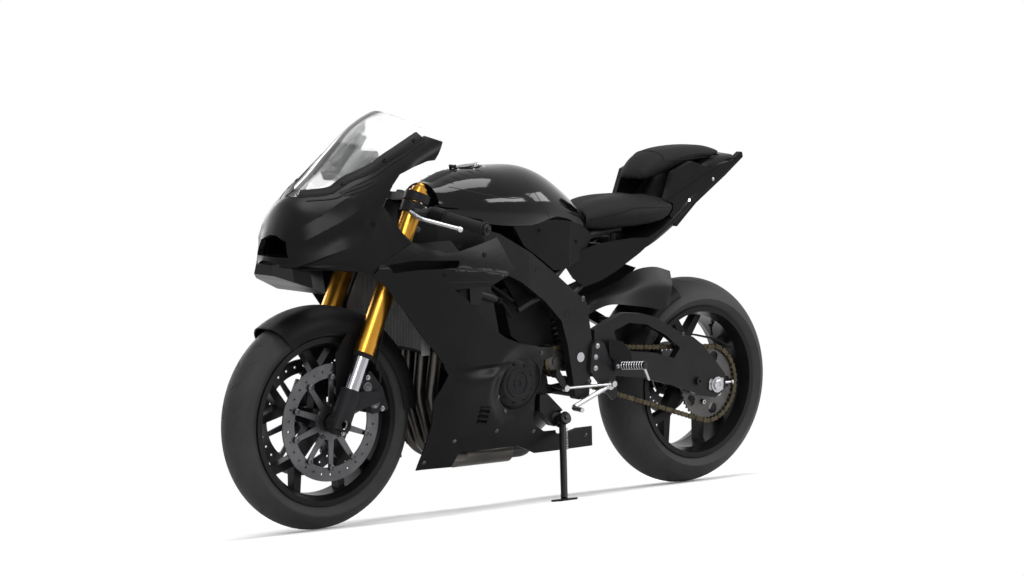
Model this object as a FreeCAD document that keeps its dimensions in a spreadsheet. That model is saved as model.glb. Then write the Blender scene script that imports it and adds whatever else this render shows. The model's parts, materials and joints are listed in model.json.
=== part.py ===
import FreeCAD, Part
import math
import os
import re

import Sketcher
from FreeCAD import Placement, Rotation, Vector

# A sport motorcycle with a full fairing, modelled upright and then leaned onto its side stand.
# Upright frame: X forward, Y to the rider's left, Z up, rear axle over X = 0, ground at Z = 0.
# Outline points are shares of one styling grid. A share of 1 is a metre of the real machine.
WHEELBASE_SHARE = 1.375
HEIGHT_SHARE = 1.13
WIDTH_SHARE = 0.22

SIZES = {
    # the whole machine
    "wheelbase": 1375,
    "body_height": 1130,
    "body_half_width": 220,
    "rake_angle": 23,
    "trail": 97,
    "lean_angle": 10.5,
    "air_gap": 0.3,
    "running_gap": 5,
    "cut_overrun": 20,
    # front wheel
    "front_tyre_radius": 300,
    "front_tyre_half_width": 60,
    "front_tyre_drop": 44,
    "front_rim_half_width": 50,
    "rim_flange_radius": 229,
    "rim_seat_radius": 220,
    "rim_wall": 6,
    "tyre_wall": 9,
    "spoke_count": 5,
    "front_hub_radius": 32,
    "front_hub_half_width": 61,
    "front_axle_radius": 12.5,
    "front_axle_half_length": 118,
    "front_axle_bore_radius": 8.5,
    "disc_radius": 160,
    "disc_inner_radius": 122,
    "disc_wall": 4.5,
    "disc_arm_count": 10,
    "disc_hole_radius": 3.5,
    "disc_hole_count": 30,
    # rear wheel
    "rear_tyre_radius": 315,
    "rear_tyre_half_width": 90,
    "rear_tyre_drop": 62,
    "rear_rim_half_width": 80,
    "rear_hub_radius": 36,
    "rear_hub_half_width": 66,
    "rear_axle_radius": 14,
    "rear_axle_half_length": 156,
    "rear_disc_radius": 110,
    "rear_disc_inner_radius": 62,
    "chain_pitch": 15.875,
    "chain_offset": 107,
    "chain_half_width": 11,
    "chain_plate_height": 15,
    "roller_radius": 5.1,
    "rear_tooth_count": 45,
    "front_tooth_count": 16,
    "sprocket_wall": 6,
    # fork and steering
    "fork_half_spacing": 104,
    "fork_outer_radius": 27,
    "fork_inner_radius": 21.5,
    "fork_foot_radius": 29,
    "fork_foot_height": 96,
    "fork_slider_height": 201,
    "fork_top_height": 668,
    "stem_radius": 14,
    "stem_bore_radius": 8.5,
    "stem_bore_depth": 40,
    "clamp_radius": 36,
    "clamp_height": 34,
    "top_clamp_height": 24,
    "bar_radius": 11,
    "grip_radius": 17,
    "fender_gap": 8,
    "fender_wall": 3,
    "fender_half_width": 71.7,
    "caliper_half_width": 30,
    "hose_radius": 3.5,
    "bobbin_radius": 4,
    "bobbin_depth": 18,
    "bobbin_boss_radius": 12,
    # tank and body work
    "cap_radius": 40,
    "cap_wall": 9,
    "cap_pin_radius": 2,
    "cap_knuckle_half": 8,
    "panel_wall": 3.5,
    "screen_wall": 3,
    "bridge_radius": 13,
    "silencer_radius": 50,
    # side stand
    "stand_radius": 10,
    "stand_pin_radius": 6,
    "stand_pin_length": 46,
    "stand_foot_wall": 6,
}

doc = FreeCAD.newDocument("sport_bike")
sheet = doc.addObject("Spreadsheet::Sheet", "Sizes")
for row, (name, value) in enumerate(SIZES.items(), start=1):
    sheet.set("A%d" % row, name)
    sheet.set("B%d" % row, str(value))
    sheet.setAlias("B%d" % row, name)
doc.recompute()


class Named:
    """Reads a size from the sheet by its name."""

    def __getattr__(self, name):
        return float(sheet.get(name))


s = Named()
nodes = {}
UP = Vector(0, 0, 1)
LEFT = Vector(0, 1, 0)
AHEAD = Vector(1, 0, 0)
HERE = Vector(0, 0, 0)


def bound(text):
    """An expression whose size names point at the sheet."""
    return re.sub(r"[a-z][a-z_]+", lambda m: "Sizes." + m.group() if m.group() in SIZES else m.group(), text)


def worth(text):
    """The value of a formula of size names, worked out in a cell of the sheet."""
    sheet.set("D1", "=" + re.sub(r"[a-z][a-z_]+", lambda m: m.group(), text))
    sheet.recompute()
    return float(sheet.get("D1"))


def along(share):
    return share * s.wheelbase / WHEELBASE_SHARE


def across(share):
    return share * s.body_half_width / WIDTH_SHARE


def up(share):
    return share * s.body_height / HEIGHT_SHARE


def spot(x_share, y_share, z_share):
    """A point of the styling grid."""
    return Vector(along(x_share), across(y_share), up(z_share))


def side(shares, y_share=0):
    """The points of a side outline."""
    return [spot(x_share, y_share, z_share) for x_share, z_share in shares]


def keep(name, shape):
    """Stores a finished shape as a named sub-part."""
    feature = doc.addObject("Part::Feature", name)
    feature.Label = name
    feature.Shape = shape
    nodes[name] = feature
    return feature


def keep_object(name, item):
    """Stores a parametric object as a named sub-part."""
    item.Label = name
    nodes[name] = item
    return item


def mirror(shape):
    """The same shape on the other side of the machine."""
    return shape.mirror(HERE, LEFT)


def both(shape):
    """The shape on the left and its twin on the right."""
    return Part.makeCompound([shape, mirror(shape)])


def fused(shapes):
    """One solid out of several that meet."""
    return shapes[0].multiFuse(shapes[1:]).removeSplitter()


def rod(start, end, radius, bore=0):
    """A round bar, or a tube where there is a bore."""
    way = end - start
    bar = Part.makeCylinder(radius, way.Length, start, way)
    if bore:
        bar = bar.cut(Part.makeCylinder(bore, way.Length, start, way))
    return bar


def unit(vector):
    return Vector(vector).normalize()


def rounded_wire(points, radius):
    """A closed outline whose corners are arcs."""
    edges = []
    ends = []
    for index, corner in enumerate(points):
        before = points[index - 1] - corner
        after = points[(index + 1) % len(points)] - corner
        half = before.getAngle(after) / 2
        reach = min(radius / math.tan(half), before.Length * 0.45, after.Length * 0.45)
        if half > math.radians(87) or radius == 0:
            ends.append((corner, corner))
            continue
        bend = reach * math.tan(half)
        middle = corner + unit(unit(before) + unit(after)) * (bend / math.sin(half) - bend)
        entry = corner + unit(before) * reach
        leave = corner + unit(after) * reach
        ends.append((entry, leave))
        edges.append(Part.Arc(entry, middle, leave).toShape())
    for index, (entry, leave) in enumerate(ends):
        last = ends[index - 1][1]
        edges.append(Part.makeLine(last, entry))
    return Part.Wire(Part.__sortEdges__(edges))


def plate(points, inner, outer, radius=0):
    """A flat plate cut to a side outline, from one distance across to another."""
    face = Part.Face(rounded_wire(points, radius))
    face.translate(Vector(0, inner - points[0].y, 0))
    return face.extrude(Vector(0, outer - inner, 0))


def curve(points):
    line = Part.BSplineCurve()
    line.interpolate(points)
    return line.toShape()


def loft(wires, ruled=False):
    return Part.makeLoft(wires, True, ruled)


def pipe(points, radius, bend):
    """A round tube along straight runs joined by tangent arcs."""
    edges = []
    last = points[0]
    for index in range(1, len(points) - 1):
        corner = points[index]
        before = points[index - 1] - corner
        after = points[index + 1] - corner
        half = before.getAngle(after) / 2
        reach = min(bend / math.tan(half), before.Length * 0.45, after.Length * 0.45)
        turn = reach * math.tan(half)
        middle = corner + unit(unit(before) + unit(after)) * (turn / math.sin(half) - turn)
        entry = corner + unit(before) * reach
        leave = corner + unit(after) * reach
        edges.append(Part.makeLine(last, entry))
        edges.append(Part.Arc(entry, middle, leave).toShape())
        last = leave
    edges.append(Part.makeLine(last, points[-1]))
    path = Part.Wire(edges)
    ring = Part.Wire([Part.makeCircle(radius, points[0], points[1] - points[0])])
    return path.makePipeShell([ring], True, False)


# Sketches and part design features

def plane_of(body, role):
    return next(item for item in body.Origin.OriginFeatures if item.Role == role)


def sketch(body, name, role, start, steps):
    """A closed outline of lines and arcs, each corner bound to the sheet.

    A step is (across, up) for a line, or (across, up, radius) for an arc that turns left, and a
    fourth value of -1 makes the arc turn right."""
    item = body.newObject("Sketcher::SketchObject", name)
    item.AttachmentSupport = [(plane_of(body, role), "")]
    item.MapMode = "FlatFace"
    if steps[-1][:2] != start:
        steps = steps + [start]
    corners = [start] + [step[:2] for step in steps[:-1]]
    places = [Vector(worth(x), worth(y), 0) for x, y in corners]
    joints = []
    for index, step in enumerate(steps):
        begin, finish = places[index], places[(index + 1) % len(steps)]
        if len(step) == 2:
            number = item.addGeometry(Part.LineSegment(begin, finish))
            joints.append((number, 1, 2))
            continue
        turn = step[3] if len(step) > 3 else 1
        first, second = (begin, finish) if turn > 0 else (finish, begin)
        radius = worth(step[2])
        chord = second - first
        sag = radius - math.sqrt(max(radius ** 2 - chord.Length ** 2 / 4, 0))
        bulge = Vector(chord.y, -chord.x, 0).normalize()
        number = item.addGeometry(Part.Arc(first, (first + second) / 2 + bulge * sag, second))
        joints.append((number, 1, 2) if turn > 0 else (number, 2, 1))
        rule = item.addConstraint(Sketcher.Constraint("Radius", number, radius))
        item.setExpression("Constraints[%d]" % rule, bound(step[2]))
    for index, (number, begin, finish) in enumerate(joints):
        after = joints[(index + 1) % len(joints)]
        item.addConstraint(Sketcher.Constraint("Coincident", number, finish, after[0], after[1]))
        for kind, text, value in (("DistanceX", corners[index][0], places[index].x),
                                  ("DistanceY", corners[index][1], places[index].y)):
            rule = item.addConstraint(Sketcher.Constraint(kind, -1, 1, number, begin, value))
            item.setExpression("Constraints[%d]" % rule, bound(text))
    return item


def ring_sketch(body, name, role, radii):
    """Circles about the body's own centre, bound to the sheet."""
    item = body.newObject("Sketcher::SketchObject", name)
    item.AttachmentSupport = [(plane_of(body, role), "")]
    item.MapMode = "FlatFace"
    for text in radii:
        number = item.addGeometry(Part.Circle(HERE, UP, worth(text)))
        item.addConstraint(Sketcher.Constraint("Coincident", number, 3, -1, 1))
        rule = item.addConstraint(Sketcher.Constraint("Radius", number, worth(text)))
        item.setExpression("Constraints[%d]" % rule, bound(text))
    return item


def hole_sketch(body, name, role, reach, radius):
    """A circle at a distance above the body's centre."""
    item = body.newObject("Sketcher::SketchObject", name)
    item.AttachmentSupport = [(plane_of(body, role), "")]
    item.MapMode = "FlatFace"
    number = item.addGeometry(Part.Circle(Vector(0, worth(reach), 0), UP, worth(radius)))
    item.addConstraint(Sketcher.Constraint("PointOnObject", number, 3, -2))
    for kind, text in (("DistanceY", reach), ("Radius", radius)):
        if kind == "Radius":
            rule = item.addConstraint(Sketcher.Constraint(kind, number, worth(text)))
        else:
            rule = item.addConstraint(Sketcher.Constraint(kind, -1, 1, number, 3, worth(text)))
        item.setExpression("Constraints[%d]" % rule, bound(text))
    return item


def revolve(body, name, profile):
    item = body.newObject("PartDesign::Revolution", name)
    item.Profile = profile
    item.ReferenceAxis = (profile, ["H_Axis"])
    item.Angle = 360
    return item


def pad(body, name, profile, length):
    """A pad as thick on one side of its sketch as on the other."""
    item = body.newObject("PartDesign::Pad", name)
    item.Profile = profile
    item.SideType = "Symmetric"
    item.setExpression("Length", bound(length))
    return item


def pocket(body, name, profile, length):
    item = body.newObject("PartDesign::Pocket", name)
    item.Profile = profile
    item.SideType = "Symmetric"
    item.setExpression("Length", bound(length))
    return item


def around(body, name, feature, profile, count):
    """Copies of a feature turned about the wheel's axis."""
    item = body.newObject("PartDesign::PolarPattern", name)
    item.Originals = [feature]
    item.Axis = (profile, ["N_Axis"])
    item.Angle = 360
    item.setExpression("Occurrences", bound(count))
    body.Tip = item
    return item


def new_body(name):
    return doc.addObject("PartDesign::Body", name)


def tyre(name, half, radius, drop, rim_half):
    """A hollow tyre with a crowned tread, its beads on the rim's seats."""
    body = new_body(name)
    crown = "(%s ^ 2 + %s ^ 2) / (2 * %s)" % (half, drop, drop)
    shoulder = "%s - %s" % (radius, drop)
    bead = "%s - rim_wall - air_gap" % rim_half
    wall = "tyre_wall"
    profile = sketch(body, name + "_profile", "YZ_Plane", ("-(%s)" % bead, "rim_seat_radius + air_gap"), [
        ("-(%s) + %s" % (bead, wall), "rim_seat_radius + air_gap"),
        ("-(%s) + %s" % (bead, wall), "rim_flange_radius + air_gap"),
        ("-(%s) + %s" % (half, wall), "%s" % shoulder),
        ("0", "%s - %s" % (radius, wall), "(%s) - 2 * %s + (%s) * 0.1" % (crown, wall, crown), -1),
        ("%s - %s" % (half, wall), "%s" % shoulder, "(%s) - 2 * %s + (%s) * 0.1" % (crown, wall, crown), -1),
        ("%s - %s" % (bead, wall), "rim_flange_radius + air_gap"),
        ("%s - %s" % (bead, wall), "rim_seat_radius + air_gap"),
        ("%s" % bead, "rim_seat_radius + air_gap"),
        ("%s" % bead, "rim_flange_radius + air_gap"),
        ("%s" % half, "%s" % shoulder, "(%s) * 1.2" % crown),
        ("0", "%s" % radius, crown),
        ("-(%s)" % half, "%s" % shoulder, crown),
        ("-(%s)" % bead, "rim_flange_radius + air_gap", "(%s) * 1.2" % crown),
        ("-(%s)" % bead, "rim_seat_radius + air_gap"),
    ])
    revolve(body, name + "_turn", profile)
    return body


def rim(name, half, hub_radius, hub_half, bore, lean_share):
    """A cast rim: band with flanges and a dropped well, hub, and five pairs of spokes."""
    body = new_body(name)
    band = sketch(body, name + "_band", "YZ_Plane", ("-(%s)" % half, "rim_flange_radius"), [
        ("-(%s)" % half, "rim_seat_radius - rim_wall"),
        ("-(%s) * 0.55" % half, "rim_seat_radius - 3 * rim_wall"),
        ("(%s) * 0.55" % half, "rim_seat_radius - 3 * rim_wall"),
        ("%s" % half, "rim_seat_radius - rim_wall"),
        ("%s" % half, "rim_flange_radius"),
        ("%s - rim_wall" % half, "rim_flange_radius"),
        ("%s - rim_wall" % half, "rim_seat_radius"),
        ("(%s) * 0.6" % half, "rim_seat_radius"),
        ("(%s) * 0.5" % half, "rim_seat_radius - 2 * rim_wall"),
        ("-(%s) * 0.5" % half, "rim_seat_radius - 2 * rim_wall"),
        ("-(%s) * 0.6" % half, "rim_seat_radius"),
        ("-(%s) + rim_wall" % half, "rim_seat_radius"),
        ("-(%s) + rim_wall" % half, "rim_flange_radius"),
    ])
    revolve(body, name + "_ring", band)
    hub = sketch(body, name + "_hub_profile", "YZ_Plane", ("-(%s)" % hub_half, bore), [
        (hub_half, bore),
        (hub_half, hub_radius),
        ("(%s) * 0.4" % hub_half, "(%s) * 1.25" % hub_radius),
        ("-(%s) * 0.4" % hub_half, "(%s) * 1.25" % hub_radius),
        ("-(%s)" % hub_half, hub_radius),
    ])
    # a loose hub would be a second solid, so the spokes come before it
    spoke_lines = [
        ("-(%s) * 0.75" % hub_radius, "(%s) * 0.8" % hub_radius),
        ("(%s) * 0.75" % hub_radius, "(%s) * 0.8" % hub_radius),
        ("rim_wall * 2.6", "rim_seat_radius * 0.55"),
        ("rim_seat_radius * %s" % lean_share, "rim_seat_radius - 2.4 * rim_wall"),
        ("rim_seat_radius * %s - rim_wall * 4" % lean_share, "rim_seat_radius - 2.4 * rim_wall"),
        ("0", "rim_seat_radius * 0.66"),
        ("-rim_seat_radius * %s + rim_wall * 4" % lean_share, "rim_seat_radius - 2.4 * rim_wall"),
        ("-rim_seat_radius * %s" % lean_share, "rim_seat_radius - 2.4 * rim_wall"),
        ("-rim_wall * 2.6", "rim_seat_radius * 0.55"),
    ]
    spoke_plan = sketch(body, name + "_spoke_profile", "XZ_Plane", spoke_lines[0], spoke_lines[1:] )
    spoke = pad(body, name + "_spoke", spoke_plan, "rim_wall * 5")
    around(body, name + "_spokes", spoke, spoke_plan, "spoke_count")
    body.Tip = revolve(body, name + "_hub", hub)
    return body


def brake_disc(name, radius, inner, hub_radius, arm_count):
    """A drilled ring on a star-shaped carrier."""
    body = new_body(name)
    ring = ring_sketch(body, name + "_ring_profile", "XZ_Plane", [radius, inner])
    pad(body, name + "_ring", ring, "disc_wall")
    arm_root = "(%s) * 0.9" % hub_radius
    arm_plan = sketch(body, name + "_arm_profile", "XZ_Plane", ("-rim_wall * 1.6", arm_root), [
        ("rim_wall * 1.6", arm_root),
        ("rim_wall * 1.1", "%s + disc_wall" % inner),
        ("-rim_wall * 1.1", "%s + disc_wall" % inner),
    ])
    arm = pad(body, name + "_arm", arm_plan, "disc_wall")
    around(body, name + "_arms", arm, arm_plan, arm_count)
    star = ring_sketch(body, name + "_star_profile", "XZ_Plane", ["(%s) * 1.5" % hub_radius, hub_radius + " * 0.8"])
    body.Tip = pad(body, name + "_star", star, "disc_wall")
    hole = hole_sketch(body, name + "_hole_profile", "XZ_Plane", "(%s + %s) / 2" % (radius, inner), "disc_hole_radius")
    cut = pocket(body, name + "_hole", hole, "disc_wall * 4")
    around(body, name + "_holes", cut, hole, "disc_hole_count")
    return body


def disc_offset(hub_half_width):
    """The disc's middle plane, where it seats on the end of its hub."""
    return hub_half_width + s.air_gap + s.disc_wall / 2


def wheel_set():
    front_offset = disc_offset(s.front_hub_half_width)
    front = Placement(Vector(s.wheelbase, 0, s.front_tyre_radius), Rotation())
    rear = Placement(Vector(0, 0, s.rear_tyre_radius), Rotation())
    made = [
        ("front_tyre", front, 0, tyre("front_tyre", "front_tyre_half_width", "front_tyre_radius",
                                      "front_tyre_drop", "front_rim_half_width")),
        ("rear_tyre", rear, 0, tyre("rear_tyre", "rear_tyre_half_width", "rear_tyre_radius",
                                    "rear_tyre_drop", "rear_rim_half_width")),
        ("front_rim", front, 0, rim("front_rim", "front_rim_half_width", "front_hub_radius",
                                    "front_hub_half_width", "front_axle_radius + air_gap", "0.32")),
        ("rear_rim", rear, 0, rim("rear_rim", "rear_rim_half_width", "rear_hub_radius",
                                  "rear_hub_half_width", "rear_axle_radius + air_gap", "0.32")),
        ("front_disc_left", front, front_offset,
         brake_disc("front_disc_left", "disc_radius", "disc_inner_radius", "front_hub_radius", "disc_arm_count")),
        ("front_disc_right", front, -front_offset,
         brake_disc("front_disc_right", "disc_radius", "disc_inner_radius", "front_hub_radius", "disc_arm_count")),
        ("rear_disc", rear, -disc_offset(s.rear_hub_half_width),
         brake_disc("rear_disc", "rear_disc_radius", "rear_disc_inner_radius", "rear_hub_radius", "spoke_count")),
    ]
    for name, centre, aside, body in made:
        place = Placement(centre.Base + LEFT * aside, Rotation())
        body.Placement = place
        keep_object(name, body)


def toothed(pitch_radius, tip_radius, root_radius, count):
    """A sprocket's outline in the wheel's plane."""
    points = []
    for tooth in range(count):
        for turn, radius in ((0, tip_radius), (0.2, tip_radius), (0.4, root_radius), (0.8, root_radius)):
            angle = math.tau * (tooth + turn - 0.1) / count
            points.append(Vector(radius * math.cos(angle), 0, radius * math.sin(angle)))
    return Part.makePolygon(points + [points[0]])


def pitch_radius(count):
    return s.chain_pitch / 2 / math.sin(math.pi / count)


def sprocket(count, centre, bore):
    """A toothed plate on the chain's line, its tips just inside the fixed rollers."""
    radius = pitch_radius(count)
    tip = radius - s.roller_radius - s.air_gap
    wire = toothed(radius, tip, tip - s.roller_radius, count)
    disc = Part.Face(wire).extrude(LEFT * s.sprocket_wall)
    disc.translate(centre + LEFT * (s.chain_offset - s.sprocket_wall / 2))
    hole = rod(centre, centre + LEFT * s.chain_offset * 2, bore)
    return disc.cut(hole)


def rear_axle_at():
    return Vector(0, 0, s.rear_tyre_radius)


def front_axle_at():
    return Vector(s.wheelbase, 0, s.front_tyre_radius)


def front_sprocket_at():
    return spot(0.61, 0, 0.42)


def drive_wheel():
    """The rear sprocket with five windows, on a carrier that reaches out from the hub."""
    centre = rear_axle_at()
    radius = pitch_radius(int(s.rear_tooth_count))
    plate_ring = sprocket(int(s.rear_tooth_count), centre, s.rear_hub_radius)
    for turn in range(int(s.spoke_count)):
        angle = math.tau * (turn + 0.5) / s.spoke_count
        middle = centre + Vector(math.cos(angle), 0, math.sin(angle)) * radius * 0.72
        plate_ring = plate_ring.cut(rod(middle, middle + LEFT * s.chain_offset * 2, radius * 0.15))
    near = centre + LEFT * (s.rear_hub_half_width + s.air_gap)
    far = centre + LEFT * (s.chain_offset - s.sprocket_wall / 2)
    carrier = Part.makeCone(s.rear_hub_radius, radius * 0.55, (far - near).Length, near, LEFT)
    carrier = carrier.cut(rod(near - LEFT, far + LEFT, s.rear_axle_radius + s.air_gap))
    return keep("rear_sprocket", carrier.fuse(plate_ring.cut(rod(near, far + LEFT, s.rear_axle_radius))))


# Steering: distances ahead of, across and up along the steering axis

def fork_point(ahead, aside, height):
    """A point given from the steering axis: ahead of it, aside, and up along it from the ground."""
    rake = math.radians(s.rake_angle)
    foot = Vector(s.wheelbase + s.trail, 0, 0)
    forward = Vector(math.cos(rake), 0, math.sin(rake))
    upward = Vector(-math.sin(rake), 0, math.cos(rake))
    return foot + forward * ahead + LEFT * aside + upward * height


def axle_ahead():
    """How far the front axle is ahead of the steering axis."""
    rake = math.radians(s.rake_angle)
    return s.front_tyre_radius * math.sin(rake) - s.trail * math.cos(rake)


def axle_height():
    rake = math.radians(s.rake_angle)
    return s.front_tyre_radius * math.cos(rake) + s.trail * math.sin(rake)


def on_leg(height, side_share=1):
    """A point on the fork leg's middle line, up from the axle."""
    return fork_point(axle_ahead(), s.fork_half_spacing * side_share, axle_height() + height)


def leg_rod(low, high, radius, bore=0):
    return rod(on_leg(low), on_leg(high), radius, bore)


def fork():
    """Inverted fork: fat outer tubes above, thin inner tubes below, feet that hold the axle."""
    low = s.fork_foot_height
    middle = s.fork_slider_height
    overlap = s.clamp_radius * 3
    foot = leg_rod(-s.fork_foot_radius * 0.6, low, s.fork_foot_radius)
    boss = rod(on_leg(0) - LEFT * s.fork_foot_radius * 0.7, on_leg(0) + LEFT * s.fork_foot_radius * 0.4,
               s.fork_foot_radius * 1.05)
    lugs = plate([on_leg(low * 0.3) - AHEAD * s.fork_foot_radius * 0.5,
                  on_leg(low * 0.95) - AHEAD * s.fork_foot_radius * 0.5,
                  on_leg(low * 0.9) - AHEAD * s.fork_foot_radius * 3.6,
                  on_leg(low * 0.55) - AHEAD * s.fork_foot_radius * 3.6],
                 disc_offset(s.front_hub_half_width) + s.caliper_half_width + s.air_gap,
                 s.fork_half_spacing + s.fork_foot_radius * 0.3, s.rim_wall)
    hole = rod(on_leg(0, 0), on_leg(0, 2), s.front_axle_radius + s.air_gap)
    socket = leg_rod(low * 0.6, low * 1.3, s.fork_inner_radius + s.air_gap)
    keep("fork_feet", both(fused([foot, boss, lugs]).cut(hole).cut(socket)))
    keep("fork_inner_tubes", both(leg_rod(low * 0.6, middle + overlap, s.fork_inner_radius)))
    bore = leg_rod(middle, middle + overlap + s.air_gap, s.fork_inner_radius + s.air_gap)
    top = s.fork_top_height
    outer = fused([leg_rod(middle, top, s.fork_outer_radius),
                   leg_rod(middle, middle + s.clamp_height, s.fork_outer_radius + s.fender_wall / 2),
                   leg_rod(middle + s.clamp_height * 2.4, top * 0.62, s.fork_outer_radius + s.fender_wall / 3),
                   leg_rod(top, top + s.fender_wall * 2, s.fork_outer_radius * 0.8)])
    keep("fork_outer_tubes", both(outer.cut(bore)))
    keep("front_axle", rod(front_axle_at() - LEFT * s.front_axle_half_length,
                           front_axle_at() + LEFT * s.front_axle_half_length, s.front_axle_radius,
                           s.front_axle_bore_radius))


def clamp(low, high, grip_radius):
    """A bridge that holds both legs and the stem."""
    ahead = axle_ahead()
    legs = [rod(fork_point(ahead, aside, low), fork_point(ahead, aside, high), s.clamp_radius)
            for aside in (s.fork_half_spacing, -s.fork_half_spacing)]
    middle = rod(fork_point(0, 0, low), fork_point(0, 0, high), s.clamp_radius * 0.8)
    corners = [fork_point(ahead + s.clamp_radius * 0.6, s.fork_half_spacing, low),
               fork_point(ahead - s.clamp_radius * 0.7, s.fork_half_spacing, low),
               fork_point(-s.clamp_radius * 0.8, 0, low),
               fork_point(ahead - s.clamp_radius * 0.7, -s.fork_half_spacing, low),
               fork_point(ahead + s.clamp_radius * 0.6, -s.fork_half_spacing, low),
               fork_point(ahead + s.clamp_radius * 0.2, 0, low)]
    web = Part.Face(Part.makePolygon(corners + [corners[0]]))
    web = web.extrude(fork_point(0, 0, high) - fork_point(0, 0, low))
    solid = fused(legs + [middle, web])
    for aside in (s.fork_half_spacing, -s.fork_half_spacing):
        bore = rod(fork_point(ahead, aside, low - s.cut_overrun), fork_point(ahead, aside, high + s.cut_overrun),
                   grip_radius)
        solid = solid.cut(bore)
    return solid


def lower_clamp_height():
    return s.fork_top_height * 0.68


def upper_clamp_height():
    return s.fork_top_height - s.top_clamp_height - s.fender_wall * 2


def clamps():
    base = axle_height()
    low, high = base + lower_clamp_height(), base + upper_clamp_height()
    bore = s.fork_outer_radius + s.air_gap
    bottom = clamp(low, low + s.clamp_height, bore)
    top = clamp(high, high + s.top_clamp_height, bore)
    stem = rod(fork_point(0, 0, low), fork_point(0, 0, high + s.top_clamp_height + s.fender_wall * 2), s.stem_radius)
    bore = rod(fork_point(0, 0, low - s.cut_overrun), fork_point(0, 0, low + s.stem_bore_depth), s.stem_bore_radius)
    keep("triple_clamps", fused([bottom, top, stem]).cut(bore))


def bar_root():
    return fork_point(axle_ahead(), s.fork_half_spacing, axle_height() + upper_clamp_height() - s.clamp_height)


def bar_end():
    return spot(1.068, 0.338, 0.824)


def on_bar(share):
    """A point along the handlebar, from its clamp at 0 to its end at 1."""
    start = bar_root() + Vector(-s.bar_radius, s.fork_outer_radius, s.bar_radius)
    return start + (bar_end() - start) * share


def handlebars():
    """Clip-on bars: a ring on the fork leg and a bar that drops outwards."""
    root = bar_root()
    upward = unit(fork_point(0, 0, 1) - fork_point(0, 0, 0))
    bore = s.fork_outer_radius + s.air_gap
    ring = rod(root, root + upward * s.clamp_height * 0.9, s.clamp_radius * 0.98)
    bar = rod(on_bar(0), on_bar(1), s.bar_radius)
    weight = rod(on_bar(0.97), on_bar(1.02), s.grip_radius * 0.9)
    hole = rod(root - upward * s.cut_overrun, root + upward * (s.clamp_height + s.cut_overrun), bore)
    keep("clip_ons", both(fused([ring, bar, weight]).cut(hole)))
    grip = rod(on_bar(0.4), on_bar(0.965), s.grip_radius, s.bar_radius + s.air_gap)
    keep("grips", both(grip))
    pod = rod(on_bar(0.19), on_bar(0.38), s.grip_radius * 1.25, s.bar_radius + s.air_gap)
    keep("control_housings", both(pod))
    ahead = spot(0.062, 0, 0.005)
    perch = fused([rod(on_bar(0.13), on_bar(0.188), s.grip_radius, s.bar_radius + s.air_gap),
                   rod(on_bar(0.15) + AHEAD * s.bar_radius * 1.3, on_bar(0.15) + ahead, s.bar_radius)])
    keep("lever_perches", both(perch))
    pivot = on_bar(0.15) + ahead + AHEAD * (s.bar_radius * 0.6)
    blade = pipe([pivot, on_bar(0.4) + spot(0.09, 0, 0), on_bar(0.94) + spot(0.075, 0, 0)],
                 s.bar_radius * 0.55, s.clamp_radius * 2)
    keep("levers", both(blade))


def caliper():
    """A two-piece caliper over the disc, behind the fork foot."""
    middle = disc_offset(s.front_hub_half_width)
    at = front_axle_at()
    inner, outer = s.disc_radius * 0.74, s.disc_radius + s.caliper_half_width * 0.5
    start, stop = math.radians(128), math.radians(172)
    points = []
    for radius, angles in ((inner, (start, (start + stop) / 2, stop)), (outer, (stop, (start + stop) / 2, start))):
        points += [at + Vector(math.cos(a), 0, math.sin(a)) * radius for a in angles]
    block = plate(points, middle - s.caliper_half_width, middle + s.caliper_half_width, s.rim_wall)
    slot = rod(at + LEFT * (middle - s.disc_wall / 2 - s.running_gap),
               at + LEFT * (middle + s.disc_wall / 2 + s.running_gap), s.disc_radius + s.running_gap)
    keep("front_calipers", both(block.cut(slot)))


def front_fender():
    """A thin guard over the front tyre, with skirts down to the fork feet."""
    at = front_axle_at()
    inner = s.front_tyre_radius + s.fender_gap
    half = s.fender_half_width
    drop = s.front_tyre_drop * 1.3

    def section(grow):
        top = inner + grow
        wide = half + grow
        low = s.front_tyre_radius - drop
        points = [at + Vector(0, wide, low), at + Vector(0, wide * 0.97, top - drop * 0.55),
                  at + Vector(0, wide * 0.6, top - drop * 0.1), at + Vector(0, 0, top)]
        return points + [at + Vector(0, -(p - at).y, (p - at).z) for p in reversed(points[:3])]

    outer, within = section(s.fender_wall), section(0)
    wire = Part.Wire([curve(outer), Part.makeLine(outer[-1], within[-1]), curve(within[::-1]),
                      Part.makeLine(within[0], outer[0])])
    shell = Part.Face(wire).revolve(at, LEFT, -120)
    shell.rotate(at, LEFT, 34)
    skirt_line = [on_leg(s.fork_foot_height * 0.75) + AHEAD * s.fork_foot_radius * 0.6,
                  on_leg(s.fork_foot_height * 0.75) - AHEAD * s.fork_foot_radius * 0.9,
                  on_leg(s.fork_slider_height * 0.75) - AHEAD * s.fork_foot_radius * 1.3,
                  on_leg(s.fork_slider_height) - AHEAD * s.fork_foot_radius * 3,
                  on_leg(s.fork_slider_height * 1.3) - AHEAD * s.fork_foot_radius * 2,
                  on_leg(s.fork_slider_height * 1.3) + AHEAD * s.fork_foot_radius * 2,
                  on_leg(s.fork_slider_height) + AHEAD * s.fork_foot_radius * 2.5]
    skirt = plate(skirt_line, half, half + s.fender_wall, s.rim_wall)
    room = leg_rod(s.fork_slider_height - s.clamp_radius, s.fork_top_height, s.fork_outer_radius + s.fender_wall * 1.3)
    keep("front_fender", fused([shell, skirt, mirror(skirt)]).cut(both(room)))


# Frame, engine and drive

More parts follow.
